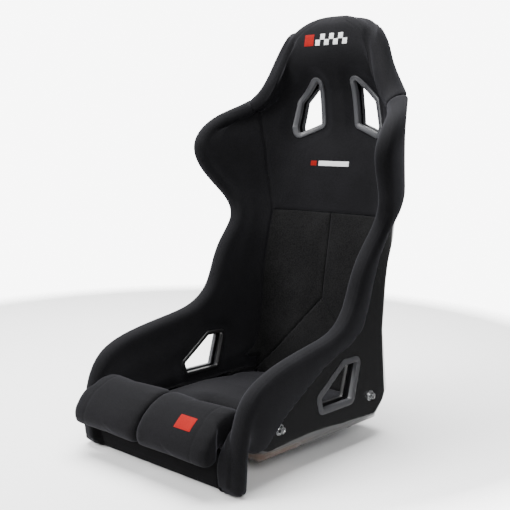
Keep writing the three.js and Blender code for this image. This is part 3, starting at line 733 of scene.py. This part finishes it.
def plastic(name, dark, light, roughness):
    """Moulded plastic with a fine grain."""
    material, nodes = node_material(name)
    finish(nodes, Base_Color=nodes.mix(nodes.noise(40.0), dark, light),
           Roughness=nodes.scaled(nodes.noise(60.0), 0.3, 0.7, roughness - 0.06, roughness + 0.08),
           Normal=nodes.bump(nodes.cells(900.0), 0.25, 0.0002))
    return material


def metal(name, dark, light, roughness):
    """Plated or bare steel, a little dulled in patches."""
    material, nodes = node_material(name)
    wear = nodes.noise(220.0, 4.0)
    finish(nodes, Base_Color=nodes.mix(wear, dark, light), Metallic=1.0,
           Roughness=nodes.scaled(wear, 0.3, 0.7, roughness - 0.08, roughness + 0.1),
           Normal=nodes.bump(nodes.noise(700.0), 0.12, 0.0002))
    return material


def gel_coat():
    """Black gel coat with faint orange peel; raw laminate shows along the front low edge."""
    material, nodes = node_material("gel_coat")
    where = nodes.add("ShaderNodeSeparateXYZ", Vector=nodes.place)
    low = nodes.scaled(where.outputs["Z"], 0.039, 0.047, 1.0, 0.0)
    ahead = nodes.scaled(where.outputs["Y"], -0.09, -0.17, 0.0, 1.0)
    patchy = nodes.scaled(nodes.noise(90.0), 0.2, 0.6, 0.55, 1.0)
    raw = nodes.math("MULTIPLY", nodes.math("MULTIPLY", low, ahead), patchy)
    black = nodes.mix(nodes.noise(30.0), (0.0035, 0.0035, 0.004, 1), (0.006, 0.006, 0.0065, 1))
    haze = nodes.scaled(nodes.noise(18.0, 4.0), 0.35, 0.75, 0.04, 0.11)
    finish(nodes, Base_Color=nodes.mix(raw, black, (0.085, 0.052, 0.036, 1)),
           Roughness=nodes.math("ADD", haze, nodes.math("MULTIPLY", raw, 0.5)),
           Normal=nodes.bump(nodes.noise(75.0, 2.0), 0.05, 0.0006))
    return material


# Names, then the dark and light tone; cloth also has loops per metre, sheen and relief.
VELOUR = fabric("velour_knit", (0.004, 0.004, 0.0045, 1), (0.0095, 0.0094, 0.0106, 1), 620, 0.05)
# The loose cushions' knit is the velour darkened by about a third: painted shade, so that their
# up-facing tops don't show brighter than the walls under the top light.
CUSHION_PAINTED_SHADE = fabric("cushion_knit_painted_shade", (0.0028, 0.0028, 0.0031, 1), (0.007, 0.0069, 0.0078, 1), 620, 0.04)
MESH_CLOTH = fabric("air_mesh", (0.0025, 0.0025, 0.0026, 1), (0.011, 0.011, 0.0111, 1),
                    430, 0.03, 0.0008)
LIP_CLOTH = fabric("lip_cloth", (0.0016, 0.0016, 0.0018, 1), (0.004, 0.0039, 0.0044, 1), 620, 0.01)
HOOK = fabric("hook_tape", (0.004, 0.004, 0.004, 1), (0.012, 0.012, 0.0125, 1), 500, 0.05, 0.001)
RED = fabric("red_weave", (0.17, 0.005, 0.004, 1), (0.27, 0.011, 0.009, 1), 1400, 0.02, 0.0002)
WHITE = fabric("white_weave", (0.55, 0.55, 0.55, 1), (0.78, 0.78, 0.78, 1), 1400, 0.02, 0.0002)
GEL = gel_coat()
GREY = plastic("bezel_grey", (0.036, 0.037, 0.041, 1), (0.056, 0.057, 0.062, 1), 0.42)
BLACK = plastic("bezel_black", (0.004, 0.004, 0.0045, 1), (0.009, 0.009, 0.0095, 1), 0.4)
ZINC = metal("zinc_plate", (0.55, 0.56, 0.58, 1), (0.80, 0.81, 0.82, 1), 0.24)
STEEL = metal("raw_steel", (0.18, 0.18, 0.19, 1), (0.34, 0.34, 0.35, 1), 0.45)


# ---------------------------------------------------------------- objects
def to_row(points):
    """Millimetres above the lip's lower edge to metres in the row frame."""
    return (np.asarray(points, float) - np.array([0, 0, PAN_Z])) * MM


def from_row(points):
    return np.asarray(points, float) / MM + np.array([0, 0, PAN_Z])


def add_object(name, data):
    made = bpy.data.objects.new(name, data)
    bpy.context.scene.collection.objects.link(made)
    return made


def add_mesh(name, points, faces, material, sharp=None, outward=False):
    """Smooth-shaded mesh; outward turns the faces of a closed mesh outward."""
    mesh = bpy.data.meshes.new(name)
    mesh.from_pydata(to_row(points).tolist(), [], [list(map(int, f)) for f in faces])
    mesh.validate()
    mesh.materials.append(material)
    mesh.polygons.foreach_set("use_smooth", [True] * len(mesh.polygons))
    if sharp is not None:
        mesh.set_sharp_from_angle(angle=math.radians(sharp))
    mesh.update()
    if outward:
        work = bmesh.new()
        work.from_mesh(mesh)
        bmesh.ops.recalc_face_normals(work, faces=work.faces)
        work.to_mesh(mesh)
        work.free()
    return add_object(name, mesh)


def ring_quads(rows, count, rows_join=True, rings_close=True):
    """Quads between rows of points, each row a ring or an open line."""
    quads = []
    for r in range(rows if rows_join else rows - 1):
        row, after = r * count, (r + 1) % rows * count
        for k in range(count if rings_close else count - 1):
            ahead = (k + 1) % count
            quads.append((row + k, row + ahead, after + ahead, after + k))
    return quads


def dress(piece, body, slot, *nodes):
    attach(piece, body)
    if nodes:
        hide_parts(*nodes)
    return piece


# ---------------------------------------------------------------- glued covers
def pocket_moves(sheet):
    """Trims the skin to leave room for the loose cushions, as the CAD covers do."""
    skin, base = sheet.skin, sheet.base
    inner = sheet.turn < 0.5
    reach = np.abs(skin[:, 0])
    ahead = skin[:, 1] > CUSHION_FRONT_Y
    low = smooth(POCKET_TOP + 26, POCKET_TOP, skin[:, 2]) * (inner & ahead)
    wall = low * smooth(POCKET_X - 16, POCKET_X, np.abs(base[:, 0]))
    wall *= 1 - smooth(POCKET_REAR_Y - 4, POCKET_REAR_Y + 14, skin[:, 1])
    thigh = inner & (skin[:, 1] < CUSHION_FRONT_Y) & (skin[:, 2] > THIGH_REST_Z) & (reach > 182)
    reach = reach + wall * np.maximum(POCKET_X - reach, 0)
    reach[thigh] = np.maximum(reach[thigh], THIGH_POCKET_X)
    skin[:, 0] = np.sign(skin[:, 0]) * reach
    behind = low * smooth(POCKET_REAR_Y - 10, POCKET_REAR_Y, base[:, 1])
    skin[:, 1] += behind * np.maximum(POCKET_REAR_Y - skin[:, 1], 0)
    lip = inner & (skin[:, 1] < CUSHION_FRONT_Y + 4) & (reach <= 182)
    skin[lip, 2] = np.minimum(skin[lip, 2], THIGH_REST_Z)


def pocket_field(sheet):
    """Positive where a cover may be: outside the room that the seat cushion fills."""
    skin, base = sheet.skin, sheet.base
    keep = np.max([np.abs(base[:, 0]) - POCKET_X - 1, base[:, 1] - POCKET_REAR_Y - 1,
                   skin[:, 2] - POCKET_EDGE, CUSHION_FRONT_Y - skin[:, 1]], axis=0)
    return np.where(sheet.turn < 0.5, keep, 100.0)


BAND = 42.0  # arc of the rim band's seam, from the inside of the roll


def band_field(sheet):
    """Distance from the seam along the outer edge of the bolsters and wings."""
    turn, edge = sheet.turn, sheet.data[:, EDGE]
    arc = math.pi * RIM * turn + np.where(turn > 0.99, edge, np.where(turn < 0.01, -edge, 0))
    ends = (sheet.data[:, U] < 0.13) | (side_field(sheet) < 0)
    return np.where(ends, 200.0, np.abs(arc - BAND))


SEAM_LEVELS = (0.7, 2.2, 4.5)  # where points are added beside a seam
SLOT_DEPTHS = (6.0, 2.5)  # how far the cover dips round a shoulder slot and a lap slot


def cover_sheet():
    """The whole padded skin with its seams, channels and slot recesses worked in."""
    sheet = padded_sheet()
    pocket_moves(sheet)
    for level in SEAM_LEVELS:
        sheet = sheet.refined(side_field, (level, -level))
    for field, levels in ((head_line, SEAM_LEVELS), (centre_line, SEAM_LEVELS),
                          (lumbar_line, SEAM_LEVELS), (band_field, (0.6, 2.0, 4.5)),
                          (hem_field, (3.0,)), (shoulder_slot, (13.0, 22.0, 34.0)),
                          (lap_slot, (13.0, 22.0, 34.0))):
        sheet = sheet.refined(field, levels)
    side = side_field(sheet)
    middle = side < 0
    depth = roll_off(side, 9.0, 5.0)
    for field in (head_line, centre_line, lumbar_line):
        depth = np.maximum(depth, np.where(middle, roll_off(field(sheet), 9.0, 5.0), 0))
    depth = np.maximum(depth, roll_off(band_field(sheet), 4.5, 1.1))
    depth += roll_off(np.minimum(hem_field(sheet), 300), 5.0, 1.6)
    inner = sheet.turn < 0.5
    for field, dip in zip((shoulder_slot, lap_slot), SLOT_DEPTHS):
        depth += np.where(inner, dip * (1 - smooth(13.0, 40.0, field(sheet))), 0)
    panel = np.min([-side, head_line(sheet), centre_line(sheet), lumbar_line(sheet)], axis=0)
    reach, _, z = np.abs(sheet.skin).T
    swell = np.where(middle & on_back(sheet), 2.6 * smooth(4, 45, panel), 0)
    chest = smooth(470, 560, z) * (1 - smooth(580, 650, z)) * (1 - smooth(60, 150, reach))
    swell += np.where(on_back(sheet), 6.0 * chest, 0)
    sheet.skin += sheet.normal * (swell - depth)[:, None]
    return sheet


covers = cover_sheet()


def bvh(points, triangles):
    return BVHTree.FromPolygons([Vector(p) for p in points],
                                [tuple(map(int, t)) for t in triangles])


INSIDE_TREE = bvh(covers.skin, covers.triangles)
covers = covers.clipped(hem_field).clipped(pocket_field)
for slot_field in (shoulder_slot, lap_slot):
    covers = covers.clipped(
        lambda sheet, field=slot_field: field(sheet) - np.where(sheet.turn < 0.99, 8.0, 10.0))
SEAM = 0.35  # half the open width of a seam
LIP_END_Y = -240.0


def region(*fields):
    sheet = covers
    for field in fields:
        sheet = sheet.clipped(field)
    return sheet


def half(side, gap=0.0):
    return lambda sheet: side * sheet.data[:, 0] - gap


def middle_part(sheet):
    return -side_field(sheet) - SEAM


def side_part(sheet):
    return side_field(sheet) - SEAM


def upper(sheet, sign=1):
    return np.where(sheet.data[:, 1] > 60, sign * (sheet.data[:, 2] - HEAD_SEAM_Z) - SEAM, -1.0)


def lower(sheet):
    return upper(sheet, -1)


def wedge(sheet, sign=1):
    """Positive under the inverted V of the lumbar seam."""
    slope = (LUMBAR_TOP_Z - LUMBAR_END[1]) / LUMBAR_END[0]
    rise = LUMBAR_TOP_Z - slope * np.abs(sheet.data[:, 0]) - sheet.data[:, 2]
    return sign * rise / math.hypot(1, slope) - SEAM


def beside_wedge(sheet):
    return wedge(sheet, -1)


BACK = (middle_part, lower)
PATCHES = (  # node, cloth, filling, and the fields that bound it
    ("head_cover", VELOUR, 0.7, (middle_part, upper)),
    ("back_panel_left", MESH_CLOTH, 0.6, (*BACK, beside_wedge, half(1, SEAM))),
    ("back_panel_right", MESH_CLOTH, 0.6, (*BACK, beside_wedge, half(-1, SEAM))),
    ("lumbar_panel", MESH_CLOTH, 0.6, (*BACK, wedge)),
    ("front_lip_cover", LIP_CLOTH, 0.5, (middle_part, lambda sheet: LIP_END_Y - sheet.data[:, 1])),
    ("side_cover_left", VELOUR, 0.8, (side_part, half(1))),
    ("side_cover_right", VELOUR, 0.8, (side_part, half(-1))),
)
for node, cloth, fill, fields in PATCHES:
    piece = add_mesh(f"{node}_skin", *region(*fields).closed(), cloth)
    dress(piece, "seat_shell", "mesh_fabric" if cloth is MESH_CLOTH else "cover_fabric", node)


# ---------------------------------------------------------------- shell
def shell_sheet():
    """Outside of the laminate as skin and its inside as base."""
    columns = np.zeros((ROWS * COLUMNS, 13))
    out = faceted(shell_points - SHELL * shell_normals, 0)
    flat = shell_points[:, 1] > -280
    out[:, 2] = np.where(flat, np.maximum(out[:, 2], PAN_Z), out[:, 2])
    for which, y in zip(("front", "rear"), BOLT_Y):
        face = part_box(f"flat_washer_{which}_left")[0].x / MM
        boss = 1 - smooth(12, 19, np.hypot(out[:, 1] - y, out[:, 2] - BOLT_Z))
        boss *= np.abs(out[:, 0]) > 150
        out[:, 0] += boss * (np.sign(out[:, 0]) * face - out[:, 0])
    columns[:, SKIN], columns[:, BASE] = out, faceted(shell_points, SHELL)
    columns[:, NORMAL] = -shell_normals
    columns[:, U], columns[:, V], columns[:, TURN] = u_grid, v_grid, 1
    return Sheet(columns, grid_triangles(ROWS, COLUMNS, flip=True))


HOLE = 7.0  # how far the holes for the slots stand clear of their bezels' openings
shell = shell_sheet()
OUTSIDE_TREE = bvh(shell.skin, shell.triangles)
PAN_TREE = bvh(sheet_points, shell.triangles)
shell = shell.clipped(lambda s: shoulder_slot(s) - HOLE).clipped(lambda s: lap_slot(s) - HOLE)
shell = shell.clipped(lambda s: np.where(
    s.data[:, 2] < 60, slot_distance(s.data[:, :2], CROTCH_SLOT) - 3.1, 100.0))
dress(add_mesh("shell_laminate", *shell.closed(), GEL, 50), "seat_shell", "shell_grp", "shell")


# ---------------------------------------------------------------- bezels
def cast(tree, plane, ahead, side, loop):
    """Points and normals where lines through a slot's outline meet a skin."""
    found = []
    for p, q in loop:
        if plane == "xz":
            origin, way = Vector((side * p, -600 if ahead > 0 else 600, q)), Vector((0, ahead, 0))
        elif plane == "yz":
            origin = Vector((0 if ahead > 0 else side * 400, p, q))
            way = Vector((side * ahead, 0, 0))
        else:
            origin, way = Vector((p, q, 300)), Vector((0, 0, -1))
        place, normal, _, _ = tree.ray_cast(origin, way)
        if normal.dot(way) > 0:
            normal = -normal
        found.append((np.array(place), np.array(normal), np.array(way)))
    return found


def bezel(name, tree, corners, plane, ahead, side, depth, material, flange, thick=3.0):
    """Moulded ring round a slot: a flange that follows the skin, and a lip into the hole."""
    profile = [(0.0, None, depth), (0.0, None, 1.5), (0.0, 1.4, 0), (0.7, thick - 0.6, 0),
               (2.2, thick, 0), (flange - 3.2, thick, 0), (flange - 1.0, thick - 0.7, 0),
               (flange, thick - 2.2, 0), (flange, -1.5, 0), (3.0, -1.5, 0),
               (2.5, None, 3.0), (2.5, None, depth)]
    rings = []
    for grow, height, reach in profile:
        hits = cast(tree, plane, ahead, side, slot_loop(corners, grow))
        place = np.array([h[0] for h in hits])
        normal = np.array([h[1] for h in hits])
        way = hits[0][2]
        for _ in range(10):
            normal = unit(2 * normal + np.roll(normal, 1, 0) + np.roll(normal, -1, 0))
            along = place @ way
            eased = (2 * along + np.roll(along, 1) + np.roll(along, -1)) / 4
            place = place + (eased - along)[:, None] * way
        rings.append(place + way * reach if height is None else place + normal * height)
    faces = ring_quads(len(rings), len(rings[0]))
    return add_mesh(name, np.concatenate(rings), faces, material, 38, outward=True)


for word, side in SIDES:
    for place, corners, plane, inner_material, inner_slot, flange in (
        ("shoulder", SHOULDER_SLOT, "xz", GREY, "bezel_grey", 12.5),
        ("lap", LAP_SLOT, "yz", BLACK, "bezel_black", 9.0),
    ):
        for which, tree, ahead, depth, material, slot_name, width in (
            ("inner", INSIDE_TREE, 1, 6.0, inner_material, inner_slot, flange),
            ("outer", OUTSIDE_TREE, -1, 7.0, GREY, "bezel_grey", 12.5),
        ):
            node = f"{place}_bezel_{which}_{word}"
            ring = bezel(f"{node}_ring", tree, corners, plane, ahead, side, depth, material, width)
            dress(ring, "seat_shell", slot_name, node)
ring = bezel("crotch_strap_bezel_ring", PAN_TREE, CROTCH_SLOT, "xy", 1, 1, 3.0, BLACK, 9.0, 2.0)
dress(ring, "seat_shell", "bezel_black", "crotch_strap_bezel")


# ---------------------------------------------------------------- side mount hardware
WASHER = [(4.5, 0.2), (4.5, 1.6), (5.0, 1.8), (10.4, 1.8), (11.0, 1.3), (11.0, 0.3),
          (10.6, 0), (4.9, 0)]
SPRING = [(4.6, 0.2), (4.6, 2.0), (5.0, 2.2), (6.6, 2.2), (7.0, 1.8), (7.0, 0.4),
          (6.6, 0), (5.0, 0)]
BOLT = [(0.01, -22), (3.4, -22), (4.0, -21), (4.0, 0), (6.2, 0), (6.3, 0.3), (7.5, 0.4), (7.5, 4.3),
        (6.9, 5.0), (6.0, 5.3), (4.4, 5.3), (4.0, 4.8), (0.01, 4.8)]
ROUND = math.inf
HARDWARE = (  # node, its form, how far it starts off the shell, profile, hexagon, half gap
    ("flat_washer", "disc", 0.0, WASHER, ROUND, 0.0),
    ("spring_washer", "coil", 2.1, SPRING, ROUND, 0.12),
    ("mount_bolt", "hex", 4.6, BOLT, 6.5, 0.0),
)


def turned(name, profile, centre_point, side, hexagon, gap, sides=48):
    """Solid of revolution about X from radii and reaches, cut to a hexagon, with a gap in it."""
    angles = np.linspace(gap, 2 * math.pi - gap, sides, endpoint=gap > 0)
    around = (angles + math.pi / 6) % (math.pi / 3) - math.pi / 6
    rings = []
    for radius, reach in profile:
        span = np.minimum(radius, hexagon / np.cos(around))
        rings.append(np.stack([np.full(sides, side * reach),
                               span * np.cos(angles), span * np.sin(angles)], 1))
    faces = ring_quads(len(rings), sides, rings_close=gap == 0)
    if gap:
        starts = [r * sides for r in range(len(rings))]
        faces += [starts, [start + sides - 1 for start in starts]]
    points = np.concatenate(rings) + np.array(centre_point)
    return add_mesh(name, points, faces, ZINC, 35, outward=True)


for word, side in SIDES:
    for which, y in zip(("front", "rear"), BOLT_Y):
        low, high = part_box(f"flat_washer_{which}_{word}")
        face = min(abs(low.x), abs(high.x)) / MM
        for kind, form, off, profile, hexagon, gap in HARDWARE:
            node = f"{kind}_{which}_{word}"
            profile = [(radius, face + off + reach) for radius, reach in profile]
            piece = turned(f"{node}_{form}", profile, (0, y, BOLT_Z), side, hexagon, gap)
            dress(piece, "seat_shell", "zinc", node)


# ---------------------------------------------------------------- loose cushions
def closed_grid(bottom, top):
    """Closed mesh between two sheets of rows and columns of points."""
    rows, columns = top.shape[:2]
    size = rows * columns
    index = np.arange(size).reshape(rows, columns)
    quads = np.stack([index[:-1, :-1], index[:-1, 1:], index[1:, 1:], index[1:, :-1]], -1)
    quads = quads.reshape(-1, 4)
    rim = np.concatenate([index[0, :-1], index[:-1, -1], index[-1, :0:-1], index[:0:-1, 0]])
    ahead = np.roll(rim, -1)
    walls = np.stack([rim, rim + size, ahead + size, ahead], 1)
    points = np.concatenate([top.reshape(-1, 3), bottom.reshape(-1, 3)])
    return points, np.concatenate([quads, quads[:, ::-1] + size, walls])


def coordinates(piece):
    flat = np.zeros(len(piece.data.vertices) * 3)
    piece.data.vertices.foreach_get("co", flat)
    return flat.reshape(-1, 3)


def set_coordinates(piece, points):
    piece.data.vertices.foreach_set("co", np.asarray(points, float).ravel())
    piece.data.update()


def apply_modifier(piece, kind, **settings):
    modifier = piece.modifiers.new(kind.title(), kind)
    for name, value in settings.items():
        setattr(modifier, name, value)
    bpy.context.view_layer.objects.active = piece
    bpy.ops.object.modifier_apply(modifier=modifier.name)


def swell(piece, voxel, cap, pressure=4.0, frames=20):
    """Swells a closed shape as a stuffed cover, no point moving further than cap."""
    apply_modifier(piece, "REMESH", mode="VOXEL", voxel_size=voxel)
    apply_modifier(piece, "SMOOTH", iterations=3, factor=0.5)
    start = coordinates(piece)
    cloth = piece.modifiers.new("Cloth", "CLOTH")
    cloth.settings.use_pressure = True
    cloth.settings.uniform_pressure_force = pressure
    cloth.settings.effector_weights.gravity = 0
    cloth.settings.quality = 5
    for number in range(1, frames + 1):
        bpy.context.scene.frame_set(number)
    bpy.context.view_layer.objects.active = piece
    bpy.ops.object.modifier_apply(modifier=cloth.name)
    bpy.context.scene.frame_set(1)
    move = coordinates(piece) - start
    length = np.maximum(np.linalg.norm(move, axis=1, keepdims=True), 1e-9)
    set_coordinates(piece, start + move * (cap * np.tanh(length / cap) / length))
    apply_modifier(piece, "SUBSURF", levels=1, render_levels=1)
    piece.data.polygons.foreach_set("use_smooth", [True] * len(piece.data.polygons))


# Side view of the thigh cushion's space, from the rear foot over the top to the lip's front.
THIGH_PROFILE = [(-268, 85), (-267, 128), (-272, 146), (-292, 152), (-318, 149), (-344, 136),
                 (-366, 116), (-381, 93), (-384, 74), (-378, 60), (-364, 58), (-350, 62),
                 (-340, 74), (-325, 85)]
THIGH_X = 183.0
THIGH_MIDDLE = (-318.0, 108.0)


def thigh_half(side):
    """One roll of the thigh cushion, its ends drawn in a little."""
    profile = np.array(THIGH_PROFILE, float)
    ends = [THIGH_X - 7, THIGH_X - 2, THIGH_X]
    x_places = np.concatenate([[0, 2, 7], np.linspace(16, THIGH_X - 16, 14), ends])
    inset = np.array([9, 4.5, 1.5, *np.zeros(14), 1.5, 5, 11])
    rings = []
    for x, let_in in zip(x_places, inset):
        ring = profile - unit(profile - THIGH_MIDDLE) * (let_in + 3.0)
        rings.append(np.stack([np.full(len(ring), side * (0.8 + x * (THIGH_X - 1.6) / THIGH_X)),
                               ring[:, 0], np.maximum(ring[:, 1], 57.5)], 1))
    rows, count = len(rings), len(profile)
    faces = [tuple(range(count)), tuple(range((rows - 1) * count, rows * count))]
    faces += ring_quads(rows, count, rows_join=False)
    name = f"thigh_roll_{'left' if side > 0 else 'right'}"
    return add_mesh(name, np.concatenate(rings), faces, CUSHION_PAINTED_SHADE, outward=True)


def thigh_cushion():
    halves = [thigh_half(side) for _, side in SIDES]
    for half in halves:
        swell(half, 0.005, 0.006)
        points = from_row(coordinates(half))
        side = 1 if points[:, 0].mean() > 0 else -1
        reach = points[:, 0] * side
        gusset = np.abs(reach - (THIGH_X - 34))
        away = unit((points - [0, -318.0, 106.0]) * [0, 1, 1])
        points -= away * roll_off(gusset, 5.0, 1.8)[:, None]
        ahead = smooth(-334, -352, points[:, 1])  # it bulges past the bolsters' front ends
        reach = reach * (1 + 0.05 * ahead * smooth(110, 180, reach))
        reach = np.clip(reach, 0.5, THIGH_X + 0.3 + 9 * ahead)
        points[:, 0] = side * reach
        rest = (points[:, 1] > -330) & (points[:, 2] < THIGH_REST_Z + 14)
        points[rest, 2] = np.maximum(points[rest, 2], THIGH_REST_Z + 8)
        set_coordinates(half, to_row(points))
    bpy.ops.object.select_all(action="DESELECT")
    for half in halves:
        half.select_set(True)
    bpy.context.view_layer.objects.active = halves[0]
    bpy.ops.object.join()
    halves[0].name = "thigh_cushion_pad"
    return halves[0]


thigh = thigh_cushion()
dress(thigh, "thigh_cushion", "cover_fabric",
      "thigh_cushion_cover", "thigh_cushion_foam_left", "thigh_cushion_foam_right")

CUSHION_X = 177.0
CUSHION_Y = (-262, 148)
CUSHION_CORNER = 30.0
NOTCH_X, NOTCH_Y = 47.0, -152.0


def cushion_top(y):
    """Height of the seat cushion's crown along its length."""
    return np.interp(y, [-262, -200, -60, 60, 148], [86.5, 91.5, 92.5, 87, 74])


def pan_under(points, top, missing):
    """Height of the pan under each point."""
    hits = [PAN_TREE.ray_cast(Vector((p[0], p[1], top)), Vector((0, 0, -1)))[0] for p in points]
    return np.array([h.z if h else missing for h in hits])


def seat_cushion():
    """The seat cushion as a closed form, then swollen, with its notch for the crotch strap."""
    inset = 5.0
    front, rear = CUSHION_Y
    places = np.linspace(-CUSHION_X + inset, CUSHION_X - inset, 67)
    x, y = np.meshgrid(places, np.linspace(front + inset, rear - inset, 83))
    over_y = np.clip(y - (rear - inset - CUSHION_CORNER), 0, None)
    width = (CUSHION_X - inset - CUSHION_CORNER
             + np.sqrt(np.maximum(CUSHION_CORNER**2 - over_y**2, 0)))
    x = x / (CUSHION_X - inset) * width
    edge = np.minimum(width - np.abs(x), np.minimum(y - front, rear - y))
    top = cushion_top(y) - inset - roll_off(np.clip(edge, 0, 30), 20.0, 5.0)
    ground = pan_under(zip(x.ravel(), y.ravel()), 90, 30.0).reshape(x.shape)
    bottom = np.minimum(ground + 10.0, top - 14)
    points, faces = closed_grid(np.stack([x, y, bottom], -1), np.stack([x, y, top], -1))
    piece = add_mesh("seat_cushion_pad", points, faces, CUSHION_PAINTED_SHADE, outward=True)
    side, back = NOTCH_X + 4, NOTCH_Y + 4
    corners = [(p, q, z) for z in (-20, 140)
               for p, q in ((-side, -300), (side, -300), (side, back), (-side, back))]
    faces = [(0, 3, 2, 1), (4, 5, 6, 7), *ring_quads(2, 4, False)]
    cutter = add_mesh("notch_cutter", corners, faces, CUSHION_PAINTED_SHADE, outward=True)
    apply_modifier(piece, "BOOLEAN", operation="DIFFERENCE", object=cutter, solver="EXACT")
    bpy.data.objects.remove(cutter)
    swell(piece, 0.006, 0.007)
    points = from_row(coordinates(piece))
    floor = np.minimum(pan_under(points, 92, 20.0) + 5.0, 70)
    points[:, 2] = np.clip(points[:, 2], floor, 93.5)
    points[:, 0] = np.clip(points[:, 0], -CUSHION_X, CUSHION_X)
    points[:, 1] = np.clip(points[:, 1], -264, POCKET_REAR_Y - 0.5)
    set_coordinates(piece, to_row(points))
    return piece


seat = seat_cushion()
dress(seat, "seat_cushion", "cover_fabric", "seat_cushion_cover", "seat_cushion_foam")


# ---------------------------------------------------------------- badges
def badge(name, under, spot, width, height, material, up=(0, 0, 1), body="seat_shell", lift=0.7):
    """Thin sewn patch with round corners, laid on a piece round a spot on it."""
    tree = BVHTree.FromPolygons([v.co.copy() for v in under.data.vertices],
                                [tuple(p.vertices) for p in under.data.polygons])
    spot, across, up = Vector(to_row(spot)), Vector((1, 0, 0)), Vector(up).normalized()
    way = -across.cross(up).normalized()
    columns, rows = max(int(width / 3), 2), max(int(height / 3), 2)
    tops, unders = [], []
    for i in range(rows + 1):
        for j in range(columns + 1):
            a, b = (j / columns - 0.5) * width * MM, (i / rows - 0.5) * height * MM
            place, normal, _, _ = tree.ray_cast(spot + across * a + up * b - way * 0.08, way)
            if normal.dot(way) > 0:
                normal = -normal
            rim = i in (0, rows) or j in (0, columns)
            tops.append(place + normal * (lift * (0.4 if rim else 1.0)) * MM)
            unders.append(place - normal * 0.4 * MM)
    shape = (rows + 1, columns + 1, 3)
    points, faces = closed_grid(from_row(unders).reshape(shape), from_row(tops).reshape(shape))
    piece = add_mesh(name, points, faces, material, 50, outward=True)
    dress(piece, body, "cover_fabric")


head = bpy.data.objects["head_cover_skin"]
SQUARE = 12.5
HEAD_Z = 843
badge("head_strip_red", head, (-51, 190, HEAD_Z), 26, 25, RED)
for k in range(7):
    spot = (-26 + k * SQUARE, 190, HEAD_Z + (0.5 if k % 2 else -0.5) * SQUARE)
    badge(f"head_strip_white_{k}", head, spot, SQUARE, SQUARE, WHITE)
badge("chest_strip_red", head, (-58, 225, 569), 17, 11, RED)
badge("chest_strip_white", head, (0, 225, 569), 86, 11, WHITE)
badge("thigh_tab", thigh, (116, -350, 122), 42, 28, RED, (0, 0.75, 0.66), "thigh_cushion")

# ---------------------------------------------------------------- carried-over CAD nodes
CARRIED = {"backing_plate": STEEL, "weld_nut": STEEL, "pan_hook_strip": HOOK,
           "lip_hook_strip": HOOK, "seat_cushion_base": HOOK, "thigh_cushion_base": HOOK}
for name, node in frame["nodes"].items():
    for start, material in CARRIED.items():
        if name.startswith(start):
            node.data.materials.clear()
            node.data.materials.append(material)


# ---------------------------------------------------------------- stage, light and camera
FLOOR_SPOT, FLOOR_REACH = (-0.55, 0.30), 1.25
NEAR_SPOT, NEAR_REACH = (-0.34, 0.0), 0.62
GLOW_WAY = (-0.68, 0.73, 0.0)  # where the backdrop's brighter part lies


def stage_floor(sides=64):
    """Pale round floor that fades into the backdrop; its near part mirrors in the shell."""
    material, nodes = node_material("pale_floor")
    tone = nodes.mix(nodes.noise(3.0), (0.88, 0.88, 0.88, 1), (0.91, 0.91, 0.91, 1))
    finish(nodes, Base_Color=tone, Roughness=0.8, Specular_IOR_Level=0.2)
    apart = nodes.math("DISTANCE", nodes.place, (*FLOOR_SPOT, 0), "ShaderNodeVectorMath")
    fade = nodes.scaled(apart, FLOOR_REACH * 0.86, FLOOR_REACH, 1.0, 0.0)
    clear = nodes.add("ShaderNodeBsdfTransparent").outputs[0]
    nodes.blend(fade, clear, nodes.shader.outputs[0], "Material Output")
    near, far = ([(x + reach * math.cos(2 * math.pi * k / sides),
                   y + reach * math.sin(2 * math.pi * k / sides), 0) for k in range(sides)]
                 for (x, y), reach in ((NEAR_SPOT, NEAR_REACH), (FLOOR_SPOT, FLOOR_REACH)))
    for name, corners, faces in (("floor_near", near, [tuple(range(sides))]),
                                 ("floor_far", near + far, ring_quads(2, sides, False))):
        mesh = bpy.data.meshes.new(name)
        mesh.from_pydata(corners, [], faces)
        mesh.materials.append(material)
        floor = add_object(name, mesh)
        floor.location = (0, 0, -PAN_Z * MM - 0.0005)
        floor.visible_glossy = name == "floor_near"
        floor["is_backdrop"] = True


def area_light(name, location, target, size, power, spread=180.0):
    light = bpy.data.lights.new(name, "AREA")
    light.shape = "RECTANGLE"
    light.size, light.size_y = size
    light.energy = power
    light.spread = math.radians(spread)
    lamp = add_object(name, light)
    lamp.location = location
    lamp.rotation_euler = (Vector(target) - Vector(location)).to_track_quat("-Z", "Y").to_euler()
    lamp.visible_camera = False


def studio_world(seen, behind, around):
    """White backdrop as the camera sees it; dimmer as it lights the seat and mirrors in it."""
    world = bpy.data.worlds.new("studio")
    nodes = Nodes(world, "Generated")
    backdrop = nodes.tree.nodes["Background"]
    backdrop.inputs["Strength"].default_value = seen
    apart = nodes.math("DOT_PRODUCT", nodes.place, GLOW_WAY, "ShaderNodeVectorMath")
    lit = nodes.add("ShaderNodeBackground",
                    Strength=nodes.scaled(apart, 0.72, 0.92, around, behind, "SMOOTHSTEP"))
    for node in (lit, backdrop):
        node.inputs["Color"].default_value = (1, 1, 1, 1)
    seen_directly = nodes.add("ShaderNodeLightPath").outputs["Is Camera Ray"]
    nodes.blend(seen_directly, lit.outputs[0], backdrop.outputs[0], "World Output")
    bpy.context.scene.world = world


stage_floor()
studio_world(8.0, 3.0, 0.20)
area_light("top", (-0.5, 0.2, 2.6), (-0.4, 0.2, 0), (2.4, 2.4), 150, 120.0)
area_light("key", (-1.2, -2.4, 1.9), (0, 0, 0.45), (1.4, 1.4), 130)
area_light("fill", (2.4, -2.0, 1.7), (0, 0, 0.45), (0.9, 1.4), 75)

camera_data = bpy.data.cameras.new("camera")
camera_data.lens = 63.77
camera_data.sensor_width = 36.0
camera_data.clip_end = 60.0
camera = add_object("camera", camera_data)
camera.location = (1.27274, -1.41103, 0.63760)
camera.rotation_euler = (math.radians(90 - 8.097), 0, math.radians(43.006))
bpy.context.scene.camera = camera

visual_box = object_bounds()
as_lists = lambda box: [[float(n) for n in corner] for corner in box]
{"cad": as_lists(cad_box), "visual": as_lists(visual_box)}
